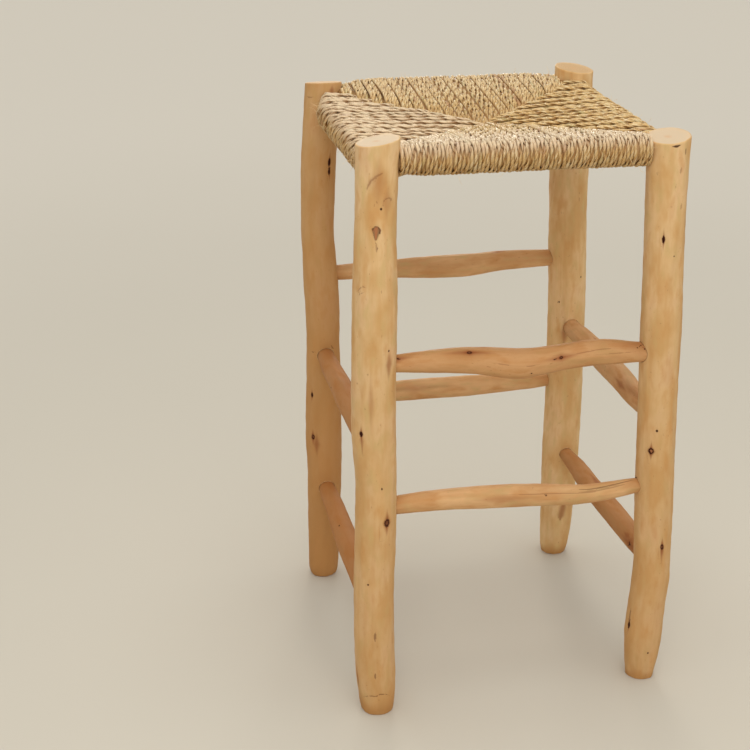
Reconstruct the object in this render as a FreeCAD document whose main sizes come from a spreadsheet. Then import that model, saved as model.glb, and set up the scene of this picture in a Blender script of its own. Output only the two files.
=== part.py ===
import FreeCAD, Part
import os
import Sketcher

# Bar stool of peeled poles with a corded seat, in millimetres.
# The origin is on the floor at the middle of the stool, +X runs to the right along the front,
# +Y to the back and +Z up. Four bowed legs carry four seat rails and eight rungs in round
# mortises, and one cord is wound over the rails into four mitred panels.

# Sizes that the whole stool shares
SIZES = {
    # Height of the front and back rail axes, where the leg axes are measured
    "seat_height": 680,
    "leg_span_x": 334,
    "leg_span_y": 340,
    # Legs: peeled poles, whittled to a smaller foot
    "leg_girth": 48,
    "leg_edge": 1.5,
    "foot_girth": 36,
    "foot_taper": 55,
    # Rungs: thinner poles that narrow to their tenons just outside the legs
    "rung_girth": 30,
    "rung_tenon": 21,
    "rung_collar": 4,
    # Seat rails: straight poles inside the cord, the side pair set lower
    "rail_girth": 22,
    "rail_tenon": 17,
    "rail_shoulder": 1.3,
    "side_rail_drop": 11,
    # Joints: tenons stop short of the leg axis, so that two of them never meet
    "tenon_setback": 11,
    "joint_gap": 0.15,
    "mortise_end_gap": 0.3,
    # Corded seat: bundles of cord round each rail, dished towards the middle
    "cord_girth": 7,
    "wrap_gap": 0.3,
    "weave_end_gap": 1.6,
    "mitre_gap": 0.3,
    "seat_dish": 18,
    "core_thickness": 20,
    "core_reach": 30,
    "bundle_count": 16,
    "bundle_edge": 2.5,
}

# Long flats that the drawknife leaves round each pole
LEG_FLATS = 10
RUNG_FLATS = 8
RAIL_FLATS = 10

# Legs: top above the rails, lean of the foot, bow and sway of the axis, and how much thicker
# than the common girth the pole is at even steps from the foot's shoulder to the sawn top
LEG_TOP = {"front_left": 25, "front_right": 14, "back_right": 23, "back_left": 18}
LEG_LEAN_X = {"front_left": -2, "front_right": 6, "back_right": 2, "back_left": -2}
LEG_LEAN_Y = {"front_left": -13, "front_right": -2, "back_right": 7, "back_left": 8}
LEG_BOW_X = {"front_left": -5, "front_right": 4, "back_right": 2.5, "back_left": -1}
LEG_BOW_Y = {"front_left": 1.5, "front_right": -2, "back_right": -2, "back_left": 2}
LEG_SWAY_X = {"front_left": -0.5, "front_right": 3, "back_right": 2.5, "back_left": 3.5}
LEG_SWELLS = {
    "front_left": (-0.5, 0.5, 0.5, 3, -1, 1),
    "front_right": (-2, -3, -2, -0.5, -2, 1),
    "back_right": (-3, 3, 3, 2.5, 2.5, 1.5),
    "back_left": (-4, 1, -2, -3, -3, -2),
}

# Rungs, each named by its side and level and read from its start leg to its end leg:
# height of its middle, rise between its ends, bow upwards, and how much thicker than the
# common girth it is at a quarter, a half and three quarters of its length
RUNG_HEIGHT = {
    "front_upper": 441,
    "front_lower": 264,
    "right_upper": 351,
    "right_lower": 162,
    "back_upper": 444,
    "back_lower": 268.5,
    "left_upper": 332,
    "left_lower": 135,
}
RUNG_RISE = {
    "front_upper": -7,
    "front_lower": -4,
    "right_upper": 2.5,
    "right_lower": 2.5,
    "back_upper": -3,
    "back_lower": -1.5,
    "left_upper": -3,
    "left_lower": -8,
}
RUNG_BOW = {
    "front_upper": -3,
    "front_lower": -1.5,
    "right_upper": 2,
    "right_lower": -2,
    "back_upper": -1,
    "back_lower": 1,
    "left_upper": 1.5,
    "left_lower": 2,
}
RUNG_SWELLS = {
    "front_upper": (2.5, -3, 2),
    "front_lower": (-2, 0, -2),
    "right_upper": (-1, 1, -0.5),
    "right_lower": (-3.5, -2.5, -3),
    "back_upper": (-1, 2, -3),
    "back_lower": (-2, 0.5, -2.5),
    "left_upper": (-2.5, -1.5, -2),
    "left_lower": (-4, -3, -4.5),
}

# Corners of the seat, as signs along X and Y
CORNERS = {
    "front_left": (-1, -1),
    "front_right": (1, -1),
    "back_right": (1, 1),
    "back_left": (-1, 1),
}

# Sides, each with its turn from the front in degrees and the legs at its start and end.
# Every side is modelled as the front is, and its placement turns it.
SIDES = {
    "front": (0, "front_left", "front_right"),
    "right": (90, "front_right", "back_right"),
    "back": (180, "back_right", "back_left"),
    "left": (-90, "back_left", "front_left"),
}
LEVELS = ("upper", "lower")

doc = FreeCAD.newDocument("bar_stool")
sheet = doc.addObject("Spreadsheet::Sheet", "Sizes")
pieces = []


# The sheet of driving sizes

def fill_sheet():
    """Put every driving size in the sheet under its alias."""
    rows = dict(SIZES)
    for leg in CORNERS:
        rows[f"{leg}_top"] = LEG_TOP[leg]
        rows[f"{leg}_lean_x"] = LEG_LEAN_X[leg]
        rows[f"{leg}_lean_y"] = LEG_LEAN_Y[leg]
        rows[f"{leg}_bow_x"] = LEG_BOW_X[leg]
        rows[f"{leg}_bow_y"] = LEG_BOW_Y[leg]
        rows[f"{leg}_sway_x"] = LEG_SWAY_X[leg]
        for step, swell in enumerate(LEG_SWELLS[leg]):
            rows[f"{leg}_swell_{step}"] = swell
    for rung in RUNG_HEIGHT:
        rows[f"{rung}_height"] = RUNG_HEIGHT[rung]
        rows[f"{rung}_rise"] = RUNG_RISE[rung]
        rows[f"{rung}_bow"] = RUNG_BOW[rung]
        for step, swell in enumerate(RUNG_SWELLS[rung]):
            rows[f"{rung}_swell_{step}"] = swell
    for row, (alias, value) in enumerate(rows.items(), start=1):
        sheet.set(f"A{row}", alias)
        sheet.set(f"B{row}", str(value))
        sheet.setAlias(f"B{row}", alias)
    doc.recompute()


def size(alias):
    """Expression that reads one size of the sheet."""
    return f"Sizes.{alias}"


def number(expression):
    """Present value of an expression, which a sketch is first drawn with."""
    return float(sheet.evalExpression(expression))


# Places that pieces share

def leg_sway(leg, axis, height):
    """Expression of how far a leg's axis strays from its corner at a height."""
    share = f"(({height}) / {size('seat_height')})"
    lean = f"{size(f'{leg}_lean_{axis}')} * (1 - {share})"
    bow = f"{size(f'{leg}_bow_{axis}')} * sin(180 * {share})"
    if axis == "y":
        return f"({lean} + {bow})"
    sway = f"{size(f'{leg}_sway_x')} * sin(360 * {share})"
    return f"({lean} + {bow} + {sway})"


def leg_corner(leg, axis):
    """Expression of a leg's corner along X or Y."""
    sign = CORNERS[leg]["xy".index(axis)]
    return f"({sign} * {size(f'leg_span_{axis}')} / 2)"


def leg_axis(side, leg, height):
    """Expressions of a leg's axis at a height, in the axes of one side."""
    along_x = f"({leg_corner(leg, 'x')} + {leg_sway(leg, 'x', height)})"
    along_y = f"({leg_corner(leg, 'y')} + {leg_sway(leg, 'y', height)})"
    turned = {
        "front": (along_x, along_y),
        "right": (along_y, f"-{along_x}"),
        "back": (f"-{along_x}", f"-{along_y}"),
        "left": (f"-{along_y}", along_x),
    }
    return turned[side]


def half_spans(side):
    """Expressions of half a side's length between leg axes, and of its distance from the middle."""
    if side in ("front", "back"):
        return f"({size('leg_span_x')} / 2)", f"({size('leg_span_y')} / 2)"
    return f"({size('leg_span_y')} / 2)", f"({size('leg_span_x')} / 2)"


def rail_height(side):
    """Expression of the height of a side's seat rail."""
    if side in ("front", "back"):
        return size("seat_height")
    return f"({size('seat_height')} - {size('side_rail_drop')})"


def rung_end_height(rung, end):
    """Expression of a rung's height at its start (-1) or end (1)."""
    return f"({size(f'{rung}_height')} + {end} * {size(f'{rung}_rise')} / 2)"


# Features

def new_body(label, angle=0):
    """Body with its label and its turn about the vertical."""
    body = doc.addObject("PartDesign::Body", label)
    body.Label = label
    turn = FreeCAD.Rotation(FreeCAD.Vector(0, 0, 1), angle)
    body.Placement = FreeCAD.Placement(FreeCAD.Vector(0, 0, 0), turn)
    pieces.append(body)
    return body


def new_sketch(body, name, plane, place=("0", "0", "0")):
    """Sketch on one of the body's own planes, moved in that plane's axes."""
    sketch = body.newObject("Sketcher::SketchObject", f"{body.Name}_{name}")
    planes = [feature for feature in body.Origin.OriginFeatures if feature.Role == plane]
    sketch.AttachmentSupport = [(planes[0], "")]
    sketch.MapMode = "FlatFace"
    for axis, value in zip("xyz", place):
        sketch.setExpression(f"AttachmentOffset.Base.{axis}", value)
    return sketch


def hold(sketch, name, value, kind, *points):
    """Named dimension of a sketch, bound to an expression."""
    index = sketch.addConstraint(Sketcher.Constraint(kind, *points, number(value)))
    sketch.renameConstraint(index, name)
    sketch.setExpression(f"Constraints.{name}", value)


def round_section(body, name, plane, place, girth):
    """Circle of a girth, centred at a place."""
    sketch = new_sketch(body, name, plane, place)
    centre = FreeCAD.Vector(0, 0, 0)
    sketch.addGeometry(Part.Circle(centre, FreeCAD.Vector(0, 0, 1), number(girth) / 2))
    sketch.addConstraint(Sketcher.Constraint("Coincident", 0, 3, -1, 1))
    hold(sketch, "girth", girth, "Diameter", 0)
    return sketch


def shaved_section(body, name, plane, place, girth, flats):
    """Shaved pole's section: even flats inside a circle of a girth, centred at a place."""
    sketch = new_sketch(body, name, plane, place)
    centre = FreeCAD.Vector(0, 0, 0)
    radius = FreeCAD.Vector(number(girth) / 2, 0, 0)
    sketch.addGeometry(Part.Circle(centre, FreeCAD.Vector(0, 0, 1), radius.x), True)
    sketch.addConstraint(Sketcher.Constraint("Coincident", 0, 3, -1, 1))
    turn = FreeCAD.Rotation(FreeCAD.Vector(0, 0, 1), 360 / flats)
    corner = radius
    for flat in range(1, flats + 1):
        following = turn.multVec(corner)
        sketch.addGeometry(Part.LineSegment(corner, following))
        corner = following
    for flat in range(1, flats + 1):
        following = flat % flats + 1
        sketch.addConstraint(Sketcher.Constraint("Coincident", flat, 2, following, 1))
        sketch.addConstraint(Sketcher.Constraint("PointOnObject", flat, 1, 0))
        if flat > 1:
            sketch.addConstraint(Sketcher.Constraint("Equal", 1, flat))
    sketch.addConstraint(Sketcher.Constraint("PointOnObject", 1, 1, -1))
    hold(sketch, "girth", girth, "Diameter", 0)
    return sketch


def loft(body, name, sections):
    """Smooth loft through sections in order."""
    feature = body.newObject("PartDesign::AdditiveLoft", f"{body.Name}_{name}")
    feature.Profile = sections[0]
    feature.Sections = sections[1:]
    return feature


def pad(body, name, sketch, length):
    """Pad along a sketch's normal."""
    feature = body.newObject("PartDesign::Pad", f"{body.Name}_{name}")
    feature.Profile = sketch
    feature.setExpression("Length", length)
    return feature


def pocket(body, name, sketch, along_normal, length=None):
    """Pocket along a sketch's normal or against it, through everything if no length is given."""
    feature = body.newObject("PartDesign::Pocket", f"{body.Name}_{name}")
    feature.Profile = sketch
    feature.Reversed = along_normal
    if length is None:
        feature.Type = "ThroughAll"
    else:
        feature.setExpression("Length", length)
    return feature


def chamfer(body, name, base, chosen, width):
    """Chamfer on the edges of a feature that a test chooses."""
    doc.recompute()
    edges = [f"Edge{i}" for i, edge in enumerate(base.Shape.Edges, start=1) if chosen(edge)]
    feature = body.newObject("PartDesign::Chamfer", f"{body.Name}_{name}")
    feature.Base = (base, edges)
    feature.setExpression("Size", width)
    return feature


# Legs

def bore_mortise(body, name, axis, opens, place, tenon):
    """Blind round mortise for a tenon, from its bottom out through the side that it opens on.

    place is the leg's axis there, as expressions along X, Y and Z.
    """
    along_x, along_y, height = place
    bottom = f"{opens} * ({size('tenon_setback')} - {size('mortise_end_gap')})"
    bore = f"{tenon} + 2 * {size('joint_gap')}"
    if axis == "x":
        spot = (along_y, height, f"{along_x} + {bottom}")
        sketch = round_section(body, f"{name}_bore", "YZ_Plane", spot, bore)
        return pocket(body, name, sketch, opens > 0, size("leg_girth"))
    spot = (along_x, height, f"-({along_y} + {bottom})")
    sketch = round_section(body, f"{name}_bore", "XZ_Plane", spot, bore)
    return pocket(body, name, sketch, opens < 0, size("leg_girth"))


def build_leg(leg):
    """Bowed pole with a sawn top, a whittled foot and mortises for its rails and rungs."""
    body = new_body(f"leg_{leg}")
    for axis in "xy":
        body.setExpression(f"Placement.Base.{axis}", leg_corner(leg, axis))
    top = f"({size('seat_height')} + {size(f'{leg}_top')})"
    steps = len(LEG_SWELLS[leg]) - 1

    def station(name, height, girth):
        place = (leg_sway(leg, "x", height), leg_sway(leg, "y", height), height)
        return shaved_section(body, name, "XY_Plane", place, girth, LEG_FLATS)

    def pole_girth(step):
        return f"({size('leg_girth')} + {size(f'{leg}_swell_{step}')})"

    pole = []
    for step in range(steps + 1):
        height = f"({size('foot_taper')} + ({top} - {size('foot_taper')}) * {step} / {steps})"
        pole.append(station(f"station_{step}", height, pole_girth(step)))
    loft(body, "pole", pole)

    # The whittled foot swells quickly above the floor, then runs out into the pole
    whittle_height = f"({size('foot_taper')} / 3)"
    whittle_girth = f"({size('foot_girth')} + {pole_girth(0)}) / 2 + {size('leg_edge')}"
    foot = [
        station("sole", "0", size("foot_girth")),
        station("whittle", whittle_height, whittle_girth),
        station("shoulder", size("foot_taper"), pole_girth(0)),
    ]
    foot_loft = loft(body, "foot", foot)

    doc.recompute()
    ends = (0, foot_loft.Shape.BoundBox.ZMax)

    def is_rim(edge):
        box = edge.BoundBox
        level = box.ZLength < 0.01
        return level and min(abs(box.ZMin - end) for end in ends) < 0.01

    chamfer(body, "rims", foot_loft, is_rim, size("leg_edge"))

    sign_x, sign_y = CORNERS[leg]
    for side, (_, start, end) in SIDES.items():
        if leg not in (start, end):
            continue
        axis = "x" if side in ("front", "back") else "y"
        opens = -sign_x if axis == "x" else -sign_y
        corner = ("0", "0", rail_height(side))
        bore_mortise(body, f"{side}_rail_mortise", axis, opens, corner, size("rail_tenon"))
        for level in LEVELS:
            rung = f"{side}_{level}"
            height = rung_end_height(rung, -1 if leg == start else 1)
            place = (leg_sway(leg, "x", height), leg_sway(leg, "y", height), height)
            bore_mortise(body, f"{rung}_mortise", axis, opens, place, size("rung_tenon"))


# Rungs and rails

def build_rung(side, level):
    """Shaved stick between two legs, narrowing to a straight tenon at each end."""
    rung = f"{side}_{level}"
    turn, start_leg, end_leg = SIDES[side]
    body = new_body(f"rung_{rung}", turn)
    start_height = rung_end_height(rung, -1)
    end_height = rung_end_height(rung, 1)
    start_x, start_y = leg_axis(side, start_leg, start_height)
    end_x, end_y = leg_axis(side, end_leg, end_height)
    collar = f"({size('leg_girth')} / 2 + {size('rung_collar')})"
    tenon_length = f"{collar} - {size('tenon_setback')}"

    def station(name, spot, girth):
        return shaved_section(body, name, "YZ_Plane", spot, girth, RUNG_FLATS)

    start_spot = (start_y, start_height, f"{start_x} + {size('tenon_setback')}")
    start = station("start_tenon", start_spot, size("rung_tenon"))
    pad(body, "start", start, tenon_length)

    first = f"({start_x} + {collar})"
    last = f"({end_x} - {collar})"
    quarters = len(RUNG_SWELLS[rung]) + 1
    stick = []
    for step in range(quarters + 1):
        share = f"({step} / {quarters})"
        bow = f"{size(f'{rung}_bow')} * sin(180 * {share})"
        spot = (
            f"{start_y} + ({end_y} - {start_y}) * {share}",
            f"{start_height} + ({end_height} - {start_height}) * {share} + {bow}",
            f"{first} + ({last} - {first}) * {share}",
        )
        girth = size("rung_tenon")
        if 0 < step < quarters:
            girth = f"{size('rung_girth')} + {size(f'{rung}_swell_{step - 1}')}"
        stick.append(station(f"station_{step}", spot, girth))
    loft(body, "stick", stick)

    end_spot = (end_y, end_height, last)
    end = station("end_tenon", end_spot, size("rung_tenon"))
    pad(body, "end", end, tenon_length)


def build_rail(side):
    """Straight shaved seat rail with a shouldered tenon at each end."""
    body = new_body(f"seat_rail_{side}", SIDES[side][0])
    half_length, depth = half_spans(side)
    shoulder = f"({size('leg_girth')} / 2 + {size('rail_shoulder')})"
    runs = (
        ("start", f"-{half_length} + {size('tenon_setback')}", size("rail_tenon"),
         f"{shoulder} - {size('tenon_setback')}"),
        ("rail", f"-{half_length} + {shoulder}", size("rail_girth"),
         f"2 * ({half_length} - {shoulder})"),
        ("end", f"{half_length} - {shoulder}", size("rail_tenon"),
         f"{shoulder} - {size('tenon_setback')}"),
    )
    for name, where, girth, length in runs:
        spot = (f"-{depth}", rail_height(side), where)
        sketch = shaved_section(body, f"{name}_section", "YZ_Plane", spot, girth, RAIL_FLATS)
        pad(body, name, sketch, length)


# Corded seat

def wedge_loop(sketch, name, wrap_radius, depth, height, end, top, bottom):
    """Loop that follows a rail's flats round its outside and closes in to a short upright end."""
    first = sketch.GeometryCount
    rail = FreeCAD.Vector(-number(depth), number(height), 0)
    radius = number(wrap_radius)
    sketch.addGeometry(Part.Circle(rail, FreeCAD.Vector(0, 0, 1), radius), True)
    turn = FreeCAD.Rotation(FreeCAD.Vector(0, 0, 1), 360 / RAIL_FLATS)
    to_first_corner = FreeCAD.Rotation(FreeCAD.Vector(0, 0, 1), 90 - 180 / RAIL_FLATS)
    spoke = to_first_corner.multVec(FreeCAD.Vector(radius, 0, 0))
    corners = [rail + spoke]
    for flat in range(RAIL_FLATS // 2 + 1):
        spoke = turn.multVec(spoke)
        corners.append(rail + spoke)
    corners.append(FreeCAD.Vector(-number(end), number(bottom), 0))
    corners.append(FreeCAD.Vector(-number(end), number(top), 0))
    for index, corner in enumerate(corners):
        sketch.addGeometry(Part.LineSegment(corner, corners[(index + 1) % len(corners)]))

    flats = list(range(first + 1, first + 2 + RAIL_FLATS // 2))
    lower, upright, upper = range(flats[-1] + 1, flats[-1] + 4)
    lines = flats + [lower, upright, upper]
    for index, line in enumerate(lines):
        following = lines[(index + 1) % len(lines)]
        sketch.addConstraint(Sketcher.Constraint("Coincident", line, 2, following, 1))
    for flat in flats + [lower]:
        sketch.addConstraint(Sketcher.Constraint("PointOnObject", flat, 1, first))
    for flat in flats[1:]:
        sketch.addConstraint(Sketcher.Constraint("Equal", flats[0], flat))
    sketch.addConstraint(Sketcher.Constraint("Horizontal", flats[0]))
    sketch.addConstraint(Sketcher.Constraint("Horizontal", flats[-1]))
    sketch.addConstraint(Sketcher.Constraint("Vertical", upright))
    hold(sketch, f"{name}_radius", wrap_radius, "Radius", first)
    hold(sketch, f"{name}_depth", depth, "DistanceX", first, 3, -1, 1)
    hold(sketch, f"{name}_height", height, "DistanceY", -1, 1, first, 3)
    hold(sketch, f"{name}_end", end, "DistanceX", upright, 1, -1, 1)
    hold(sketch, f"{name}_bottom", bottom, "DistanceY", -1, 1, upright, 1)
    hold(sketch, f"{name}_top", top, "DistanceY", -1, 1, upright, 2)


def build_weave(side):
    """Mitred panel of cord bundles that wrap a rail and dish down to the middle of the seat."""
    body = new_body(f"weave_{side}", SIDES[side][0])
    half_length, depth = half_spans(side)
    reach = f"({half_length} - {size('leg_girth')} / 2 - {size('weave_end_gap')})"
    bundle = f"(2 * {reach} / {size('bundle_count')})"
    inner = f"({size('rail_girth')} / 2 + {size('wrap_gap')})"
    outer = f"({inner} + {size('cord_girth')})"
    crown = f"({size('seat_height')} + {outer})"
    top = f"({crown} - {size('seat_dish')})"
    bottom = f"({top} - {size('core_thickness')})"
    height = rail_height(side)

    profile = new_sketch(body, "profile", "YZ_Plane", ("0", "0", f"-{reach}"))
    wedge_loop(profile, "outer", outer, depth, height, "0", top, bottom)
    inner_top = f"{top} - {size('cord_girth')}"
    inner_bottom = f"{bottom} + {size('cord_girth')}"
    core = size("core_reach")
    wedge_loop(profile, "inner", inner, depth, height, core, inner_top, inner_bottom)
    turn = pad(body, "bundle", profile, bundle)

    doc.recompute()
    end_faces = [face for face in turn.Shape.Faces if face.BoundBox.XLength < 0.01]
    rims = [edge for face in end_faces for edge in face.OuterWire.Edges]
    outer_rims = [edge for edge in rims if edge.BoundBox.YLength > 0.01]

    def is_rim(edge):
        return any(edge.isSame(rim) for rim in outer_rims)

    chamfer(body, "bundle_edges", turn, is_rim, size("bundle_edge"))
    doc.recompute()

    row = body.newObject("PartDesign::LinearPattern", f"{body.Name}_row")
    row.TransformMode = "Whole shape"
    row.Direction = (profile, ["N_Axis"])
    row.Mode = "Spacing"
    row.setExpression("Offset", bundle)
    row.setExpression("Occurrences", size("bundle_count"))
    body.Tip = row

    # The mitre leaves a triangle between the seat's diagonals
    mitre = new_sketch(body, "mitre_outline", "XY_Plane")
    spare = 1.4
    far_x = f"{spare} * {half_length}"
    far_y = f"{spare} * {depth} + {size('mitre_gap')}"
    gap = number(size("mitre_gap"))
    corners = [
        FreeCAD.Vector(-number(far_x), -number(far_y), 0),
        FreeCAD.Vector(0, -gap, 0),
        FreeCAD.Vector(number(far_x), -number(far_y), 0),
        FreeCAD.Vector(number(far_x), gap, 0),
        FreeCAD.Vector(-number(far_x), gap, 0),
    ]
    for index, corner in enumerate(corners):
        mitre.addGeometry(Part.LineSegment(corner, corners[(index + 1) % len(corners)]))
    for index in range(len(corners)):
        following = (index + 1) % len(corners)
        mitre.addConstraint(Sketcher.Constraint("Coincident", index, 2, following, 1))
    mitre.addConstraint(Sketcher.Constraint("PointOnObject", 1, 1, -2))
    mitre.addConstraint(Sketcher.Constraint("Vertical", 2))
    mitre.addConstraint(Sketcher.Constraint("Horizontal", 3))
    mitre.addConstraint(Sketcher.Constraint("Vertical", 4))
    hold(mitre, "apex", size("mitre_gap"), "DistanceY", 1, 1, -1, 1)
    hold(mitre, "left_far", far_x, "DistanceX", 0, 1, -1, 1)
    hold(mitre, "left_low", far_y, "DistanceY", 0, 1, -1, 1)
    hold(mitre, "right_far", far_x, "DistanceX", -1, 1, 2, 1)
    hold(mitre, "right_low", far_y, "DistanceY", 2, 1, -1, 1)
    hold(mitre, "beyond", size("mitre_gap"), "DistanceY", -1, 1, 3, 1)
    pocket(body, "mitre", mitre, True)


# Checks before anything is written

def check_document():
    """Stop on a failed feature, a cut that removes nothing or a piece that isn't one solid."""
    for item in doc.Objects:
        if "Invalid" in item.State or "Error" in item.State:
            raise RuntimeError(f"{item.Label} failed")
        if item.TypeId == "PartDesign::Pocket":
            if item.Shape.Volume > item.BaseFeature.Shape.Volume - 1:
                raise RuntimeError(f"{item.Label} cuts nothing")
    for body in pieces:
        shape = body.Shape
        if shape.isNull() or not shape.isValid() or len(shape.Solids) != 1:
            raise RuntimeError(f"{body.Label} isn't one valid solid")


fill_sheet()
for leg_name in CORNERS:
    build_leg(leg_name)
for side_name in SIDES:
    build_rail(side_name)
for side_name in SIDES:
    for level_name in LEVELS:
        build_rung(side_name, level_name)
for side_name in SIDES:
    build_weave(side_name)
doc.recompute()
check_document()

os.makedirs("parts", exist_ok=True)
for piece in pieces:
    piece.Shape.exportStep(f"parts/{piece.Label}.step")
print(f"{len(pieces)} pieces written")
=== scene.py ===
"""Bar stool of peeled laurel poles with a seat wound from palm cord.

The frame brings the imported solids. Each leg, rung and seat panel is replaced by a dressed piece of
the same place and size, and the seat rails keep their solids under a wood finish.
"""

import logging
import math
from collections.abc import Callable, Iterable
from dataclasses import dataclass, field, replace
from enum import Enum
from typing import Any

import bmesh
import bpy
import numpy as np
from mathutils import Matrix, Vector


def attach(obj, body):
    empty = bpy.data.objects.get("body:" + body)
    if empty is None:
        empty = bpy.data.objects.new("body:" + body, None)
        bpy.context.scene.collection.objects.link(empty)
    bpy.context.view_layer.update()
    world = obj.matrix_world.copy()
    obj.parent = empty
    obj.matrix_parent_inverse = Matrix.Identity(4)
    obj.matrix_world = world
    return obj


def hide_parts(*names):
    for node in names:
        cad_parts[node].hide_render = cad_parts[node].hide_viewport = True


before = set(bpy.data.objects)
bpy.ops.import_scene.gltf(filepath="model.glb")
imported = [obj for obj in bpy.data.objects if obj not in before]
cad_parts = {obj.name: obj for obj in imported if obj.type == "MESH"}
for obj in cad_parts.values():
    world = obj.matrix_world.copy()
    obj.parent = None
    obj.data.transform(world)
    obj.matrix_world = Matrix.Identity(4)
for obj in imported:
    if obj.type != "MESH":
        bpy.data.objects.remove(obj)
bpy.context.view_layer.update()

MM = 0.001
BODY = "root"

Piece = bpy.types.Object
Mesh = bpy.types.Mesh
Material = bpy.types.Material
Tree = bpy.types.NodeTree
Socket = bpy.types.NodeSocket
Random = np.random.Generator
Spot = tuple[float, float]
Point = tuple[float, float, float]
Face = tuple[int, ...]
Array = np.ndarray
Amount = float | np.ndarray

log = logging.getLogger("bar_stool")


# Shared helpers


def linear(colour: str) -> tuple[float, float, float, float]:
    """Turns an sRGB hex colour into linear light.

    Args:
        colour: six hex digits, such as "D2AB75".

    Returns:
        Red, green, blue and an alpha of 1.
    """
    channels = [int(colour[i : i + 2], 16) / 255 for i in (0, 2, 4)]
    red, green, blue = [c / 12.92 if c <= 0.04045 else ((c + 0.055) / 1.055) ** 2.4 for c in channels]
    return red, green, blue, 1.0


def add_node(tree: Tree, kind: str, inputs: dict, out: int | str = 0, **settings: Any) -> Socket | None:
    """Adds a shader node with its settings and links.

    Args:
        tree: node tree that takes the node.
        kind: node type without its common prefix.
        inputs: values, or sockets to link, by input name or index.
        out: name or index of the output that is given back.
        settings: properties of the node by name.

    Returns:
        The chosen output, or nothing for a node without outputs.
    """
    node = tree.nodes.new("ShaderNode" + kind)
    for name, value in settings.items():
        setattr(node, name, value)
    for key, value in inputs.items():
        if isinstance(value, bpy.types.NodeSocket):
            tree.links.new(value, node.inputs[key])
        else:
            node.inputs[key].default_value = value
    return node.outputs[out] if len(node.outputs) else None


def new_material(name: str) -> tuple[Material, Tree]:
    """Makes an empty node material.

    Args:
        name: the real material's name.

    Returns:
        The material and its emptied node tree.
    """
    material = bpy.data.materials.new(name)
    material.use_nodes = True
    material.node_tree.nodes.clear()
    return material, material.node_tree


def per_mm(width: float) -> float:
    """Returns the texture scale that puts about one cell in a width in millimetres."""
    return 1 / (width * MM)


def layered(tree: Tree, base: str | Socket, layers: Iterable[tuple]) -> Socket:
    """Lays tints over a colour, each where its pattern passes from one level to another.

    Args:
        tree: the finish's node tree.
        base: colour under the first tint, as hex or as a socket.
        layers: pattern of each tint, levels where it starts and is full, greatest share as a number
            or a socket, and hex colour.

    Returns:
        The mixed colour.
    """
    colour = linear(base) if isinstance(base, str) else base
    for pattern, start, full, share, tint in layers:
        amount = add_node(tree, "MapRange", {0: pattern, 1: start, 2: full, 4: share})
        mix = {0: amount, 6: colour, 7: linear(tint)}
        colour = add_node(tree, "Mix", mix, 2, data_type="RGBA")
    return colour


def add_surface(tree: Tree, inputs: dict[str, Any], height: Socket, bump: Spot) -> None:
    """Closes a finish with its bump, shader and output.

    Args:
        tree: the finish's node tree.
        inputs: values, or sockets to link, of the shader by input name.
        height: pattern that stands proud of the surface.
        bump: strength of the bump, and its height in millimetres.
    """
    strength, proud = bump
    normal = add_node(tree, "Bump", {"Strength": strength, "Distance": proud * MM, "Height": height})
    shader = add_node(tree, "BsdfPrincipled", {**inputs, "Normal": normal})
    add_node(tree, "OutputMaterial", {"Surface": shader})


def eased(at: Array, places: tuple[float, ...], values: tuple[float, ...], reach: float) -> Array:
    """Reads values between stations on a line that is rounded over a reach.

    Args:
        at: places to read.
        places: places of the stations, rising.
        values: values at the stations.
        reach: length over which the line's corners are rounded.

    Returns:
        One value for each place.
    """
    samples = 1401
    fine = np.linspace(places[0], places[-1], samples)
    corners = np.interp(fine, places, values)
    count = max(3, int(reach / (fine[1] - fine[0])) | 1)
    window = np.hanning(count + 2)[1:-1]
    padded = np.pad(corners, count // 2, mode="reflect", reflect_type="odd")
    smooth = np.convolve(padded, window / window.sum(), "valid")
    return np.interp(at, fine, smooth)


def waves(at: Array, lengths: tuple[float, ...], rng: Random) -> Array:
    """Adds sine waves of random phase into a smooth wander of about -1 to 1.

    Args:
        at: places to read.
        lengths: wave lengths, in the unit of the places.
        rng: seeded source of the phases.

    Returns:
        One value for each place.
    """
    total = np.zeros_like(at, dtype=float)
    for length in lengths:
        total += np.sin(2 * np.pi * (at / length + rng.random()))
    return total / math.sqrt(len(lengths))


def swing(angle: Array, turn: Amount) -> Array:
    """Returns the signed angle from a turn to each angle, in radians and at most half a circle."""
    return np.angle(np.exp(1j * (angle - turn)))


def unit(vector: Array) -> Array:
    """Returns a vector's direction."""
    return vector / np.linalg.norm(vector)


def set_attributes(mesh: Mesh, **looks: Array) -> None:
    """Stores numbers or vectors on a mesh's vertices.

    Args:
        mesh: mesh that takes them.
        looks: one number or one vector for each vertex, by the name that a finish reads.
    """
    for name, values in looks.items():
        kind, key = ("FLOAT", "value") if values.ndim == 1 else ("FLOAT_VECTOR", "vector")
        attribute = mesh.attributes.new(name, kind, "POINT")
        attribute.data.foreach_set(key, values.astype(np.float32).ravel())


def pick(*pieces: Piece) -> None:
    """Selects pieces and nothing else, with the first as the active object.

    Args:
        pieces: what the next operators act on.
    """
    bpy.ops.object.select_all(action="DESELECT")
    for piece in pieces:
        piece.select_set(True)
    bpy.context.view_layer.objects.active = pieces[0]


def add_object(name: str, data: bpy.types.ID) -> Piece:
    """Adds an object to the scene.

    Args:
        name: its name.
        data: its mesh, curve, lamp or camera.

    Returns:
        The new object.
    """
    added = bpy.data.objects.new(name, data)
    bpy.context.scene.collection.objects.link(added)
    return added


def hand_over(piece: Piece, slot: str, *nodes: str) -> None:
    """Seats a finished piece on the stool and lets it stand for its solids.

    Args:
        piece: finished piece, placed by its mesh.
        slot: not used.
        nodes: names of the solids that it stands for.
    """
    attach(piece, BODY)
    if nodes:
        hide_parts(*nodes)
    log.info("%s: %d faces", piece.name, len(piece.data.polygons))


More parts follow.
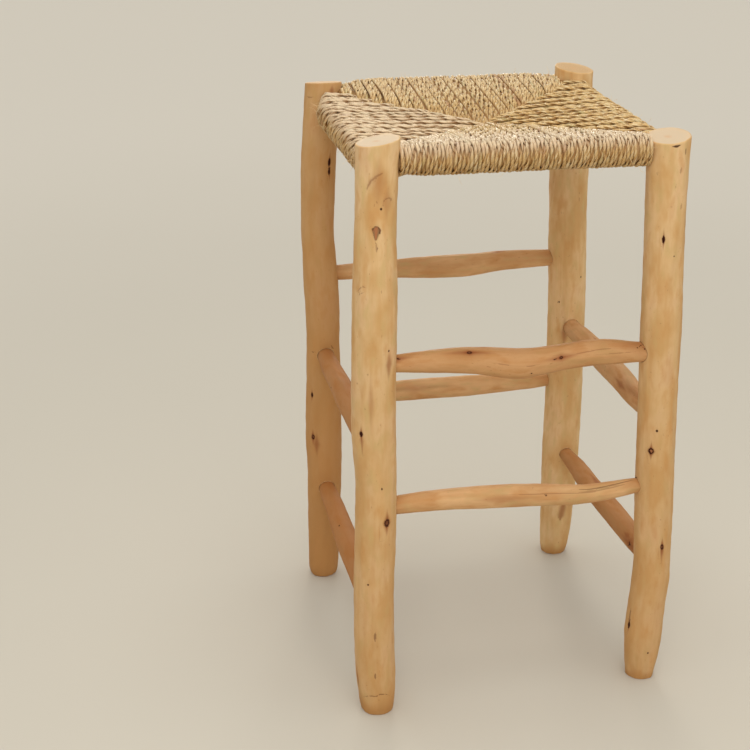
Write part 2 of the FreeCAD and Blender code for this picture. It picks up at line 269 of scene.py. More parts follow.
class Spelt(Enum):
    """Choice whose members are spelt in small letters in the names of the solids."""

    @property
    def label(self) -> str:
        """Name of the member as the solids spell it."""
        return self.name.lower()


class Level(Spelt):
    """Levels of a side's two rungs."""

    UPPER = 1
    LOWER = 2


class Corner(Spelt):
    """Corners of the seat in their order round it, as signs along X and Y."""

    FRONT_LEFT = (-1, -1)
    FRONT_RIGHT = (1, -1)
    BACK_RIGHT = (1, 1)
    BACK_LEFT = (-1, 1)


class Side(Spelt):
    """Sides of the stool in their order round it, each with its turn from the front in degrees."""

    FRONT = 0
    RIGHT = 90
    BACK = 180
    LEFT = -90

    @property
    def turn(self) -> Array:
        """Rotation from the side's own axes (along, inwards, up) to the stool's."""
        return np.array(Matrix.Rotation(math.radians(self.value), 3, "Z"))

    @property
    def corners(self) -> tuple[Corner, Corner]:
        """Corners at the side's start and at its end."""
        start = list(Side).index(self)
        return list(Corner)[start], list(Corner)[(start + 1) % len(Corner)]


# Finishes

SOFT = {"interpolation_type": "SMOOTHSTEP"}
# Length in which Blender's wave texture repeats at a scale of 1.
WAVE_LENGTH = 0.314


@dataclass(frozen=True)
class PeeledLaurel:
    """Peeled and shaved laurel: golden sapwood clouded with olive, orange and pink, and brown knots.

    The knife leaves a smooth, barely polished skin with a soft broad gloss, clouds of tone a few
    centimetres long, fine fibres, and small dark flecks where inner bark was left. Real fibres are
    too fine to show from here, so they are drawn about 1 mm wide.
    """

    name: str
    pale: str
    gold: str
    orange: str
    pink: str
    olive: str
    worn: str
    fleck: str = "8C5A33"
    knot: str = "34120A"
    knot_halo: str = "8F4F2B"
    knot_heart: str = "B0724A"
    fibre_width: float = 1.2
    streak_width: float = 7.0
    cloud_width: float = 26.0
    blotch_width: float = 11.0
    fleck_width: float = 2.4
    ragged_width: float = 1.4
    sheen: float = 0.18

    def material(self) -> Material:
        """Builds the finish.

        Returns:
            Material that reads the pole's own straight coordinates and its marks.
        """
        material, tree = new_material(self.name)
        place = add_node(tree, "Attribute", {}, "Vector", attribute_name="pole")
        tone = add_node(tree, "Attribute", {}, "Fac", attribute_name="flat_tone")
        noises = {}
        for name, width, stretch, detail in (
            ("fibre", self.fibre_width, 0.07, 2.0),
            ("streak", self.streak_width, 0.06, 2.0),
            ("cloud", self.cloud_width, 0.42, 3.0),
            ("blotch", self.blotch_width, 0.38, 3.0),
            ("fleck", self.fleck_width, 0.45, 1.0),
        ):
            spot = add_node(tree, "Mapping", {"Vector": place, "Scale": (1, 1, stretch)})
            inputs = {"Vector": spot, "Scale": per_mm(width), "Detail": detail}
            noises[name] = add_node(tree, "TexNoise", inputs)
        wear = add_node(tree, "Attribute", {}, "Fac", attribute_name="wear")
        layers = (
            (noises["cloud"], 0.40, 0.62, 1.0, self.gold),
            (noises["blotch"], 0.54, 0.74, 0.75, self.orange),
            (noises["cloud"], 0.46, 0.30, 0.35, self.pink),
            (noises["blotch"], 0.47, 0.28, 0.75, self.olive),
            (noises["streak"], 0.52, 0.76, 0.45, self.orange),
            (noises["fibre"], 0.54, 0.78, 0.35, self.gold),
            (noises["fleck"], 0.72, 0.80, 0.45, self.fleck),
            # Wear at the whittled ends, and painted shade along the pole.
            (wear, 0.0, 1.0, 1.0, self.worn),
        )
        colour = layered(tree, self.pale, layers)
        value = add_node(tree, "MapRange", {0: tone, 3: 0.95, 4: 1.05})
        colour = add_node(tree, "HueSaturation", {"Value": value, "Color": colour})
        colour, dark = self.marks(tree, place, colour)
        gloss = add_node(tree, "MapRange", {0: noises["blotch"], 1: 0.3, 2: 0.7, 3: 0.64, 4: 0.8})
        gloss = add_node(tree, "Math", {0: gloss, 1: dark}, operation="MAXIMUM")
        height = add_node(tree, "Math", {0: noises["fibre"], 1: noises["blotch"]}, operation="ADD")
        inputs = {"Base Color": colour, "Roughness": gloss, "Specular IOR Level": self.sheen}
        add_surface(tree, inputs, height, (0.3, 0.3))
        return material

    def marks(self, tree: Tree, place: Socket, colour: Socket) -> tuple[Socket, Socket]:
        """Lays the marks over the wood: a dark rim, a lighter heart, and a halo drawn out along it.

        Args:
            tree: the finish's node tree.
            place: the pole's straight coordinates.
            colour: colour of the wood round the marks.

        Returns:
            The colour with its marks, and the share of dark bark.
        """
        mark = add_node(tree, "Attribute", {}, "Vector", attribute_name="mark")
        look = add_node(tree, "Attribute", {}, "Vector", attribute_name="mark_look")
        stain = add_node(tree, "Attribute", {}, "Fac", attribute_name="stain")
        halo, heart, strength = (add_node(tree, "SeparateXYZ", {0: look}, axis) for axis in "XYZ")
        rough = {"Vector": place, "Scale": per_mm(self.ragged_width), "Detail": 1.0}
        ragged = add_node(tree, "TexNoise", rough)
        ragged = add_node(tree, "MapRange", {0: ragged, 3: -0.3, 4: 0.3})
        distance = add_node(tree, "VectorMath", {0: mark}, "Value", operation="LENGTH")
        distance = add_node(tree, "Math", {0: distance, 1: ragged}, operation="ADD")
        spread = add_node(tree, "VectorMath", {0: mark}, operation="ABSOLUTE")
        steps = {0: spread, 1: (*Mark.FADE, 0)}
        spread = add_node(tree, "VectorMath", steps, "Value", operation="DOT_PRODUCT")
        spread = add_node(tree, "MapRange", {0: spread, 1: Mark.FADED, 2: Mark.FULL}, **SOFT)
        core = add_node(tree, "MapRange", {0: distance, 1: 1.2, 2: 0.7}, **SOFT)
        inner = add_node(tree, "MapRange", {0: distance, 1: 0.6, 2: 0.3}, **SOFT)
        dark = add_node(tree, "Math", {0: core, 1: strength}, operation="MULTIPLY")
        layers = (
            (stain, 0.0, 1.0, 1.0, self.knot_halo),
            (spread, 0.0, 1.0, halo, self.knot_halo),
            (core, 0.0, 1.0, strength, self.knot),
            (inner, 0.0, 1.0, heart, self.knot_heart),
        )
        return layered(tree, colour, layers), dark


LEG_WOOD = PeeledLaurel("peeled_laurel_leg", "E6C594", "D4AA72", "D09D63", "D6A782", "D2B57C", "B98650")
RUNG_WOOD = PeeledLaurel("peeled_laurel_rung", "DCB180", "CA9A68", "C48C54", "C9966A", "C6A570", "A56830")


@dataclass(frozen=True)
class SawnLaurel:
    """Sawn laurel end grain: pale cream with faint rings round an off-centre pith and saw lines.

    A coarse hand saw leaves the end matt, so it is the palest and flattest surface of the wood.
    """

    name: str = "sawn_laurel_end"
    pale: str = "D4C0A4"
    aged: str = "C09861"
    ring: str = "DFBE92"
    pith: str = "CF9C68"
    ring_width: float = 3.2
    saw_pitch: float = 1.7
    warp_width: float = 9.0
    warp_reach: float = 5.0
    pith_reach: Spot = (7.0, 0.8)
    rim_reach: Spot = (17.0, 25.0)

    def material(self) -> Material:
        """Builds the finish.

        Returns:
            Material that reads the pole's own straight coordinates.
        """
        material, tree = new_material(self.name)
        place = add_node(tree, "Attribute", {}, "Vector", attribute_name="section")
        seed = add_node(tree, "Attribute", {}, "Vector", attribute_name="pole")
        age = add_node(tree, "Attribute", {}, "Fac", attribute_name="end_age")
        uneven = add_node(tree, "TexNoise", {"Vector": seed, "Scale": per_mm(self.warp_width)}, 1)
        uneven = add_node(tree, "VectorMath", {0: uneven, 1: (0.5, 0.5, 0.5)}, operation="SUBTRACT")
        stretch = {0: uneven, "Scale": self.warp_reach * MM}
        uneven = add_node(tree, "VectorMath", stretch, operation="SCALE")
        warped = add_node(tree, "VectorMath", {0: place, 1: uneven}, operation="ADD")
        round_pith = {"Vector": warped, "Scale": WAVE_LENGTH * per_mm(self.ring_width), "Distortion": 1.2}
        rings = add_node(tree, "TexWave", round_pith, wave_type="RINGS", rings_direction="Z")
        slanted = {"Vector": place, "Scale": WAVE_LENGTH * per_mm(self.saw_pitch), "Distortion": 3.0}
        saw = add_node(tree, "TexWave", slanted, bands_direction="DIAGONAL")
        reach = add_node(tree, "VectorMath", {0: warped}, "Value", operation="LENGTH")
        pith, rim = (
            add_node(tree, "MapRange", {0: reach, 1: start * MM, 2: full * MM}, **SOFT)
            for start, full in (self.pith_reach, self.rim_reach)
        )
        layers = (
            (age, 0.0, 1.0, 1.0, self.aged),
            (rings, 0.55, 1.0, 0.22, self.ring),
            (rim, 0.0, 1.0, 0.35, self.ring),
            (pith, 0.0, 1.0, 0.4, self.pith),
        )
        colour = layered(tree, self.pale, layers)
        add_surface(tree, {"Base Color": colour, "Roughness": 0.78, "IOR": 1.5}, saw, (0.3, 0.2))
        return material


@dataclass(frozen=True)
class BoredLaurel:
    """Bored laurel inside a mortise: brown wood with rings left by the bit, darkened with painted shade
    since the hole lies in shade.
    """

    name: str = "bored_laurel"
    raw: str = "8E6238"
    burnt: str = "5A3A20"
    bit_pitch: float = 1.4

    def material(self) -> Material:
        """Builds the finish.

        Returns:
            Material on Object coordinates.
        """
        material, tree = new_material(self.name)
        place = add_node(tree, "TexCoord", {}, "Object")
        rough = add_node(tree, "TexNoise", {"Vector": place, "Scale": per_mm(self.bit_pitch)})
        colour = layered(tree, self.burnt, ((rough, 0.0, 1.0, 1.0, self.raw),))
        add_surface(tree, {"Base Color": colour, "Roughness": 0.85}, rough, (0.5, 0.3))
        return material


@dataclass(frozen=True)
class RailLaurel:
    """Shaved laurel of the seat rails: plain streaked sapwood that only shows between the cords."""

    side: Side
    name: str = "shaved_laurel_rail"
    pale: str = "CBA471"
    deep: str = "A97E4C"
    streak_width: float = 4.0
    stretch: float = 0.05

    def material(self) -> Material:
        """Builds the finish.

        Returns:
            Material on Object coordinates, with its grain along the side.
        """
        material, tree = new_material(f"{self.name}_{self.side.label}")
        place = add_node(tree, "TexCoord", {}, "Object")
        scale = (self.stretch, 1, 1) if self.side in (Side.FRONT, Side.BACK) else (1, self.stretch, 1)
        place = add_node(tree, "Mapping", {"Vector": place, "Scale": scale})
        inputs = {"Vector": place, "Scale": per_mm(self.streak_width), "Detail": 3.0}
        streak = add_node(tree, "TexNoise", inputs)
        colour = layered(tree, self.deep, ((streak, 0.0, 1.0, 1.0, self.pale),))
        add_surface(tree, {"Base Color": colour, "Roughness": 0.6}, streak, (0.3, 0.2))
        return material


@dataclass(frozen=True)
class PalmCord:
    """Palm-leaf cord: dried leaf strips twisted by hand, straw to tan, with a silky leaf gloss.

    Each ply is a bundle of strips, so its surface shows long fibres in several tones, a few brown,
    reddish or greenish strips, brown dirt and painted shade in the creases where plies meet, painted
    shade on the lower sides of proud courses, and glints along the ridges. Its top carries a painted
    pale sheen, and painted shade darkens the lower and outer faces of the wraps. Real leaf fibres are
    too fine to show from here, so they are drawn 0.7 mm wide.
    """

    name: str = "doum_palm_cord"
    straw: str = "E6C384"
    cream: str = "F3E1B6"
    tan: str = "C2985A"
    brown: str = "86582E"
    green: str = "B9AC74"
    red: str = "B9805A"
    crease: str = "8F5A12"
    bleached: str = "F4E2CA"
    handled: str = "A9773C"
    fibre_width: float = 0.7
    strip_width: float = 1.5

    def material(self) -> Material:
        """Builds the finish.

        Returns:
            Material that reads the cord's lay as a UV map, in metres round and along a ply.
        """
        material, tree = new_material(self.name)
        lay = add_node(tree, "UVMap", {}, uv_map="lay")
        tone, depth, pallor, handled = (
            add_node(tree, "Attribute", {}, "Fac", attribute_name=name)
            for name in ("ply_tone", "crease", "pallor", "handled")
        )
        along_fibre = add_node(tree, "Mapping", {"Vector": lay, "Scale": (1, 0.06, 1)})
        along_strip = add_node(tree, "Mapping", {"Vector": lay, "Scale": (1, 0.07, 1)})
        fine = {"Vector": along_fibre, "Scale": per_mm(self.fibre_width), "Detail": 2.0, "Roughness": 0.6}
        fibre = add_node(tree, "TexNoise", fine)
        broad = {"Vector": along_strip, "Scale": per_mm(self.strip_width), "Detail": 1.0}
        strip = add_node(tree, "TexNoise", broad)
        layers = (
            (strip, 0.50, 0.64, 0.95, self.cream),
            (strip, 0.47, 0.34, 0.9, self.tan),
            (tone, 0.70, 1.00, 0.6, self.tan),
            (tone, 0.24, 0.04, 0.6, self.green),
            (tone, 0.90, 0.97, 0.5, self.red),
            # Painted sheen: a pale colour on the tops of the wraps.
            (pallor, 0.00, 1.00, 1.0, self.bleached),
            # Painted shade on the lower and outer faces of the wraps.
            (handled, 0.00, 1.00, 0.35, self.handled),
            (fibre, 0.56, 0.74, 0.45, self.brown),
            # Brown dirt and painted shade in the creases, painted shade on the lower sides of proud
            # courses and on the stuffing.
            (depth, 0.10, 0.90, 0.7, self.crease),
        )
        colour = layered(tree, self.straw, layers)
        gloss = add_node(tree, "MapRange", {0: fibre, 3: 0.3, 4: 0.52})
        height = add_node(tree, "Math", {0: fibre, 1: strip}, operation="ADD")
        add_surface(tree, {"Base Color": colour, "Roughness": gloss, "IOR": 1.55}, height, (0.8, 0.5))
        return material


@dataclass(frozen=True)
class StudioFloor:
    """Matt painted floor: warm pale grey in broad soft patches, paler away from the stool."""

    name: str = "painted_floor"
    near: str = "C7C2B6"
    far: str = "D2CDC2"
    near_reach: float = 0.8
    far_reach: float = 3.2
    patch_width: float = 416.667
    patch_share: float = 0.25

    def material(self) -> Material:
        """Builds the finish.

        Returns:
            Material on Object coordinates.
        """
        material, tree = new_material(self.name)
        place = add_node(tree, "TexCoord", {}, "Object")
        reach = add_node(tree, "VectorMath", {0: place}, "Value", operation="LENGTH")
        patch = add_node(tree, "TexNoise", {"Vector": place, "Scale": per_mm(self.patch_width)})
        spread = {0: patch, 1: self.patch_share, 2: reach}
        reach = add_node(tree, "Math", spread, operation="MULTIPLY_ADD")
        share = add_node(tree, "MapRange", {0: reach, 1: self.near_reach, 2: self.far_reach}, **SOFT)
        colour = layered(tree, self.near, ((share, 0.0, 1.0, 1.0, self.far),))
        inputs = {"Base Color": colour, "Roughness": 0.8, "Specular IOR Level": 0.2}
        shader = add_node(tree, "BsdfPrincipled", inputs)
        add_node(tree, "OutputMaterial", {"Surface": shader})
        return material


# Poles


class Flaw(Enum):
    """Flaws of a peeled pole, each with the share of its halo, lighter heart and dark rim."""

    KNOT = (0.9, 0.3, 0.9)
    EYE = (1.0, 0.85, 1.0)
    TEAR = (0.3, 0.9, 0.55)
    HOLE = (0.8, 0.0, 1.0)
    DOT = (0.2, 0.0, 0.95)
    CRACK = (0.3, 0.0, 0.85)
    CHECK = (0.25, 0.0, 0.4)
    TRACE = (0.3, 0.0, 0.15)
    STAIN = (0.3, 0.0, 0.0)
    BRUISE = (0.65, 0.0, 0.0)

    @property
    def soft(self) -> bool:
        """Tells whether the flaw is a tint without an edge."""
        return self in (STAIN, BRUISE)


KNOT, EYE, TEAR, HOLE, DOT, CRACK, CHECK, TRACE, STAIN, BRUISE = Flaw


@dataclass(frozen=True)
class Mark:
    """Flaw at its place on a pole.

    Attributes:
        kind: what it is.
        path: one place, or the points of a line, in millimetres along the pole and degrees round it.
        width, length, depth: its size in millimetres. A line has no length of its own.
    """

    kind: Flaw
    path: tuple[Spot, ...]
    width: float
    length: float
    depth: float

    # How fast a halo fades across and along, and where it has faded and where it is full.
    FADE = (0.55, 0.27)
    FADED = 1.05
    FULL = 0.15
    # Where a tear is widest, as a share of its half length above its middle.
    TEAR_BELLY = 0.45

    def offsets(self, along: Array, angle: Array, radius: Array) -> tuple[Array, Array]:
        """Measures the pole's surface from the mark, in half widths across and half lengths along.

        Args:
            along, angle, radius: millimetres along the pole, radians round it, and its radius.

        Returns:
            Offsets across and along.
        """
        if len(self.path) > 1:
            return self.line_offsets(along, angle, radius), np.zeros_like(along)
        place, turn = self.path[0]
        across = swing(angle, math.radians(turn)) * radius / (self.width / 2)
        lengthwise = (along - place) / (self.length / 2)
        if self.kind is TEAR:
            above = (lengthwise - self.TEAR_BELLY) / (1 - self.TEAR_BELLY)
            cap = np.sqrt(np.clip(1 - above**2, 0.0004, 1))
            tail = np.clip((lengthwise + 1) / (1 + self.TEAR_BELLY), 0.02, 1) ** 0.9
            return across / np.where(lengthwise > self.TEAR_BELLY, cap, tail), np.zeros_like(across)
        if self.kind in (HOLE, EYE):
            across = across * (1 + 0.5 * np.clip(np.abs(lengthwise) - 0.5, 0, 3))
        return across, lengthwise

    def line_offsets(self, along: Array, angle: Array, radius: Array) -> Array:
        """Measures the pole's surface from a line, in half widths with a sign for its two sides.

        Args:
            along, angle, radius: millimetres along the pole, radians round it, and its radius.

        Returns:
            Signed offsets from the line, which thins towards its ends.
        """
        middle = math.radians(sum(turn for _, turn in self.path) / len(self.path))
        across = swing(angle, middle) * radius
        nearest = np.full(along.shape, 1e3)
        spans = len(self.path) - 1
        for index in range(spans):
            (start, start_turn), (end, end_turn) = self.path[index : index + 2]
            first = (math.radians(start_turn) - middle) * radius
            run_along = end - start
            run_round = (math.radians(end_turn) - middle) * radius - first
            off_along, off_round = along - start, across - first
            share = (off_along * run_along + off_round * run_round) / (run_along**2 + run_round**2)
            share = np.clip(share, 0, 1)
            gap = np.hypot(off_along - share * run_along, off_round - share * run_round)
            side = np.sign(off_round * run_along - off_along * run_round)
            whole = (index + share) / spans
            taper = np.clip(5 * whole * (1 - whole), 0.3, 1)
            signed = gap * np.where(side == 0, 1, side) / (self.width / 2 * taper)
            nearest = np.where(np.abs(signed) < np.abs(nearest), signed, nearest)
        return nearest

    def moved(self, distance: float) -> "Mark":
        """Returns the same mark a distance in millimetres further along its pole."""
        return replace(self, path=tuple((place + distance, turn) for place, turn in self.path))


def spot(kind: Flaw, place: float, turn: float, width: float, length: float, depth: float) -> Mark:
    """Returns a mark at one place, in millimetres along the pole and degrees round it."""
    return Mark(kind, ((place, turn),), width, length, depth)


def line(kind: Flaw, width: float, depth: float, *path: Spot) -> Mark:
    """Returns a mark along a line, through points in millimetres along and degrees round the pole."""
    return Mark(kind, path, width, 0.0, depth)


@dataclass
class Pole:
    """Peeled pole: a bowed, shaved stick with marks, built straight and then shaped, in millimetres.

    Attributes:
        name: name of the piece.
        stations: place along the pole, offsets of its axis to the right and up, and girth.
        marks, seed: its knots, cracks and stains, and the seed of its shaving.
        tone: share of a darker, browner colour at the start and at the end: painted shade.
        end_age: how far the sawn ends have darkened, from 0 to 1.
        top_tilt: tilt of the sawn top about the two cross axes, in degrees.
        whittled: places of the ends that are whittled smaller.
        whittle_reach: how far whittling runs up from an end.
        wear_reach, wear_share: how far and how strongly the whittled ends are darkened.
        flats: long flats of the drawknife round it.
        cut_depth: distance of the flats from the axis, as a share of the radius.
        crispness: sharpness of the edges between flats.
        roundness: size of the swells round it, as a share of the usual.
        sides, ring_gap: faces round it, and distance between its rings.
    """

    name: str
    stations: tuple[tuple[float, float, float, float], ...]
    marks: tuple[Mark, ...] = ()
    seed: int = 1
    tone: Spot = (0.0, 0.0)
    end_age: float = 0.0
    top_tilt: Spot = (0.0, 0.0)
    whittled: tuple[float, ...] = (0.0,)
    whittle_reach: float = 60.0
    wear_reach: float = 20.0
    wear_share: float = 0.9
    flats: int = 8
    cut_depth: float = 0.986
    crispness: float = 210.0
    roundness: float = 1.0
    sides: int = 96
    ring_gap: float = 2.0

    STRAIGHT_RADIUS = 20 * MM
    RIM_BEVEL = 1.0 * MM
    END_INSET = 3.2 * MM
    END_INSETS = 5
    # How far off an end's plane its points may lie, in metres.
    FLATNESS = 1e-6
    SMOOTH_BELOW = math.radians(38)
    # Reaches over which the axis and the girth are rounded, in millimetres.
    AXIS_EASE = 46
    GIRTH_EASE = 22
    # Lobes round the pole and their height as a share of the radius.
    SWELLS = ((2, 0.016), (3, 0.010), (5, 0.006), (7, 0.004), (9, 0.003))
    WHITTLE_CUTS = 9
    # A flat is measured no further round than the turn with this cosine.
    FLAT_EDGE = 0.2
    TONE_CRISPNESS = 120
    # Share of the radius that rounding the edges takes away, given back.
    EDGE_LOSS = 0.006
    # Millimetres below the top over which the tilt of the saw cut sets in.
    TILT_REACH = 45
    # Half widths across and half lengths along that a mark's halo reaches.
    MARK_REACH = (2.4, 4.2)
    # Distance of the rings' middle from the axis, in millimetres.
    PITH_SHIFT = 2.2

    @property
    def length(self) -> float:
        """Length in millimetres."""
        return self.stations[-1][0]

    def straight(self) -> Piece:
        """Adds a straight pole on the Z axis with rings along it and insets on its sawn ends.

        Returns:
            The new object, with its second finish on the sawn ends.
        """
        length = self.length * MM
        bpy.ops.mesh.primitive_cylinder_add(
            vertices=self.sides, radius=self.STRAIGHT_RADIUS, depth=length, location=(0, 0, length / 2)
        )
        pole = bpy.context.active_object
        pole.name = self.name
        pole.data.name = self.name
        bpy.ops.object.transform_apply(location=True, rotation=False, scale=False)
        bpy.ops.object.mode_set(mode="EDIT")
        bpy.ops.mesh.select_mode(type="EDGE")
        rings = max(4, round(self.length / self.ring_gap))
        first = max(2, round(math.sqrt(rings)))
        for spans in (first, max(2, round(rings / first))):
            self.choose(pole, "edges", lambda edge: edge.verts[0].co.xy == edge.verts[1].co.xy)
            bpy.ops.mesh.subdivide(number_cuts=spans - 1)

        def sawn(part: bmesh.types.BMEdge | bmesh.types.BMFace) -> bool:
            """Tells whether an edge or a face lies in a sawn end."""
            heights = [vert.co.z for vert in part.verts]
            return max(heights) < self.FLATNESS or min(heights) > length - self.FLATNESS

        self.choose(pole, "edges", sawn)
        bpy.ops.mesh.bevel(offset=self.RIM_BEVEL, segments=2, affect="EDGES")
        bpy.ops.mesh.select_mode(type="FACE")
        self.choose(pole, "faces", lambda face: len(face.verts) == self.sides)
        for _ in range(self.END_INSETS):
            bpy.ops.mesh.inset(thickness=self.END_INSET)
        bpy.ops.mesh.poke()
        self.choose(pole, "faces", sawn)
        bpy.ops.object.mode_set(mode="OBJECT")
        chosen = np.empty(len(pole.data.polygons), bool)
        pole.data.polygons.foreach_get("select", chosen)
        pole.data.polygons.foreach_set("material_index", chosen.astype(np.int32))
        return pole

    @staticmethod
    def choose(pole: Piece, kind: str, test: Callable[[Any], bool]) -> None:
        """Selects the edges or faces that pass a test, in edit mode.

        Args:
            pole: object in edit mode.
            kind: "edges" or "faces".
            test: function that takes one of them and answers yes or no.
        """
        bpy.ops.mesh.select_all(action="DESELECT")
        cage = bmesh.from_edit_mesh(pole.data)
        for element in getattr(cage, kind):
            if test(element):
                element.select_set(True)
        bmesh.update_edit_mesh(pole.data)

    def axis(self, along: Array) -> tuple[Array, Array, Array]:
        """Reads the bowed axis and the girth.

        Args:
            along: millimetres along the pole.

        Returns:
            Offsets to the right and up, and the girth, in millimetres.
        """
        places, rights, ups, girths = zip(*self.stations)
        right = eased(along, places, rights, self.AXIS_EASE)
        up = eased(along, places, ups, self.AXIS_EASE)
        return right, up, eased(along, places, girths, self.GIRTH_EASE)

    def shaved(self, angle: Array, along: Array) -> tuple[Array, Array]:
        """Works out what the drawknife leaves of a round pole.

        Args:
            angle, along: radians round the pole, and millimetres along it.

        Returns:
            Share of the round radius, and a tone from 0 to 1 that each cut has of its own.
        """
        rng = np.random.default_rng(self.seed)
        swollen = np.ones_like(along)
        for lobes, size in self.SWELLS:
            phase = rng.uniform(0, 6.3) + 0.9 * waves(along, (390, 170), rng)
            fading = 0.7 + 0.3 * waves(along, (140, 90), rng)
            swollen += self.roundness * size * np.cos(lobes * angle + phase) * fading
        cuts, tones = [swollen], [np.full_like(along, 0.5)]

        def cut(depth: Array, facing: Amount, tone: Array) -> None:
            """Adds one flat at a depth."""
            cuts.append(depth / np.maximum(np.cos(swing(angle, facing)), self.FLAT_EDGE))
            tones.append(tone)

        for flat in range(self.flats):
            turn = 2 * math.pi * (flat + rng.uniform(-0.3, 0.3)) / self.flats
            facing = turn + 0.16 * waves(along, (310, 173), rng)
            depth = self.cut_depth + 0.012 * waves(along, (231, 117, 61), rng)
            cut(depth, facing, 0.5 + 0.3 * waves(along, (323, 151), rng))
        for end in self.whittled:
            gap = np.abs(along - end)
            for flat in range(self.WHITTLE_CUTS):
                turn = 2 * math.pi * (flat + rng.uniform(-0.35, 0.35)) / self.WHITTLE_CUTS
                lift = 0.975 + rng.uniform(-0.03, 0.02)
                lift = lift + 0.10 * (gap / (self.whittle_reach * rng.uniform(0.6, 1.2))) ** 1.5
                cut(lift, turn, np.full_like(along, rng.uniform(0.15, 0.85)))
        stack = np.stack(cuts)
        lowest = stack.min(axis=0)
        sharp = np.exp(-self.crispness * (stack - lowest))
        share = lowest - np.log(sharp.sum(axis=0)) / self.crispness + self.EDGE_LOSS
        soft = np.exp(-self.TONE_CRISPNESS * (stack - lowest))
        tone = (soft * np.stack(tones)).sum(axis=0) / soft.sum(axis=0)
        return share, np.clip(tone, 0, 1)

    def marked(self, along: Array, angle: Array, radius: Array, mesh: Mesh) -> Array:
        """Dents the pole at its marks and stores their places and looks.

        Args:
            along, angle, radius: millimetres along the pole, radians round it, and its radius.
            mesh: the pole's mesh.

        Returns:
            The radius with its dents.
        """
        offset = np.full((len(along), 3), 9.0)
        look = np.zeros((len(along), 3))
        stain = np.zeros(len(along))
        nearest = np.full(len(along), 6.0)
        for mark in self.marks:
            across, lengthwise = mark.offsets(along, angle, radius)
            distance = np.hypot(across, lengthwise)
            dent = np.exp(-1.3 * distance**2)
            if mark.kind is EYE:
                dent = dent - 0.9 * np.exp(-6 * (distance - 1.0) ** 2)
            radius = radius - mark.depth * dent
            if mark.kind.soft:
                faded = mark.FADE[0] * np.abs(across) + mark.FADE[1] * np.abs(lengthwise)
                spread = np.clip((mark.FADED - faded) / (mark.FADED - mark.FULL), 0, 1)
                stain = np.maximum(stain, mark.kind.value[0] * spread**2 * (3 - 2 * spread))
                continue
            near = (np.abs(across) < self.MARK_REACH[0]) & (np.abs(lengthwise) < self.MARK_REACH[1])
            chosen = near & (distance < nearest)
            nearest = np.where(chosen, distance, nearest)
            offset[chosen] = np.column_stack([across, lengthwise, np.zeros_like(across)])[chosen]
            look[chosen] = mark.kind.value
        set_attributes(mesh, stain=stain, mark=offset, mark_look=look)
        return radius

    def shape(self, pole: Piece, basis: Array, origin: Array, *finishes: Material) -> None:
        """Bows, shaves, marks and dresses a straight pole, and stores what its finishes read.

        Args:
            pole: the straight pole.
            basis: its columns right, up and along in the stool's axes.
            origin: start of its line in metres.
            finishes: finish of its skin, of its sawn ends, and of its mortises if it has any.
        """
        mesh = pole.data
        rest = np.empty(len(mesh.vertices) * 3, np.float32)
        mesh.vertices.foreach_get("co", rest)
        rest = rest.reshape(-1, 3).astype(float)
        angle = np.arctan2(rest[:, 1], rest[:, 0])
        reach = np.hypot(rest[:, 0], rest[:, 1]) / self.STRAIGHT_RADIUS
        along = rest[:, 2] / MM
        right, up, girth = self.axis(along)
        share, tone = self.shaved(angle, along)
        rng = np.random.default_rng(self.seed + 500)
        ripple = 1 + 0.006 * waves(along + 40 * np.sin(angle), (37, 23), rng)
        radius = self.marked(along, angle, girth / 2 * share * ripple, mesh)

        section = np.stack([np.cos(angle), np.sin(angle)], axis=1) * (reach * radius)[:, None]
        tilt_x, tilt_y = (math.tan(math.radians(turn)) for turn in self.top_tilt)
        rise = np.clip((along - (self.length - self.TILT_REACH)) / self.TILT_REACH, 0, 1)
        lifted = along + rise * (tilt_x * section[:, 0] + tilt_y * section[:, 1])
        local = np.column_stack([right + section[:, 0], up + section[:, 1], lifted]) * MM
        mesh.vertices.foreach_set("co", (local @ basis.T + origin).astype(np.float32).ravel())
        # Painted shade from end to end, and wear at the whittled ends.
        wear = np.interp(along, [0, self.length], self.tone)
        for end in self.whittled:
            edge = self.wear_reach * (1 + 0.25 * waves(angle * 20, (61, 37, 23), rng))
            wear = np.maximum(wear, self.wear_share * np.clip(1.25 - np.abs(along - end) / edge, 0, 1))
        # The grain is moved so that no two poles look alike.
        shift = np.random.default_rng(self.seed + 900).uniform(-3, 3, 3)
        grain = np.column_stack([section, along]) * MM + shift
        flat = np.column_stack([section + self.PITH_SHIFT, np.zeros_like(along)]) * MM
        age = np.full_like(along, self.end_age)
        set_attributes(mesh, pole=grain, section=flat, wear=wear, end_age=age, flat_tone=tone)
        mesh.update()
        for finish in finishes:
            mesh.materials.append(finish)
        pick(pole)
        bpy.ops.object.shade_smooth_by_angle(angle=self.SMOOTH_BELOW)


@dataclass
class Bore:
    """Round mortise: where it starts near the pole's axis, where it heads and how wide it is."""

    start: Array
    heading: Array
    girth: float
    depth: float = 60.0
    sides: int = 40

    def cutter(self) -> Piece:
        """Adds the solid that the bit removes.

        Returns:
            The new object.
        """
        heading = Vector(self.heading).normalized()
        bpy.ops.mesh.primitive_cylinder_add(
            vertices=self.sides,
            radius=self.girth / 2 * MM,
            depth=self.depth * MM,
            location=Vector(self.start) + heading * (self.depth / 2 * MM),
            rotation=Vector((0, 0, 1)).rotation_difference(heading).to_euler(),
        )
        return bpy.context.active_object


@dataclass
class Woods:
    """Finishes of the poles: the skins of legs and rungs, sawn ends and bored mortises."""

    leg: Material
    rung: Material
    sawn: Material
    bored: Material


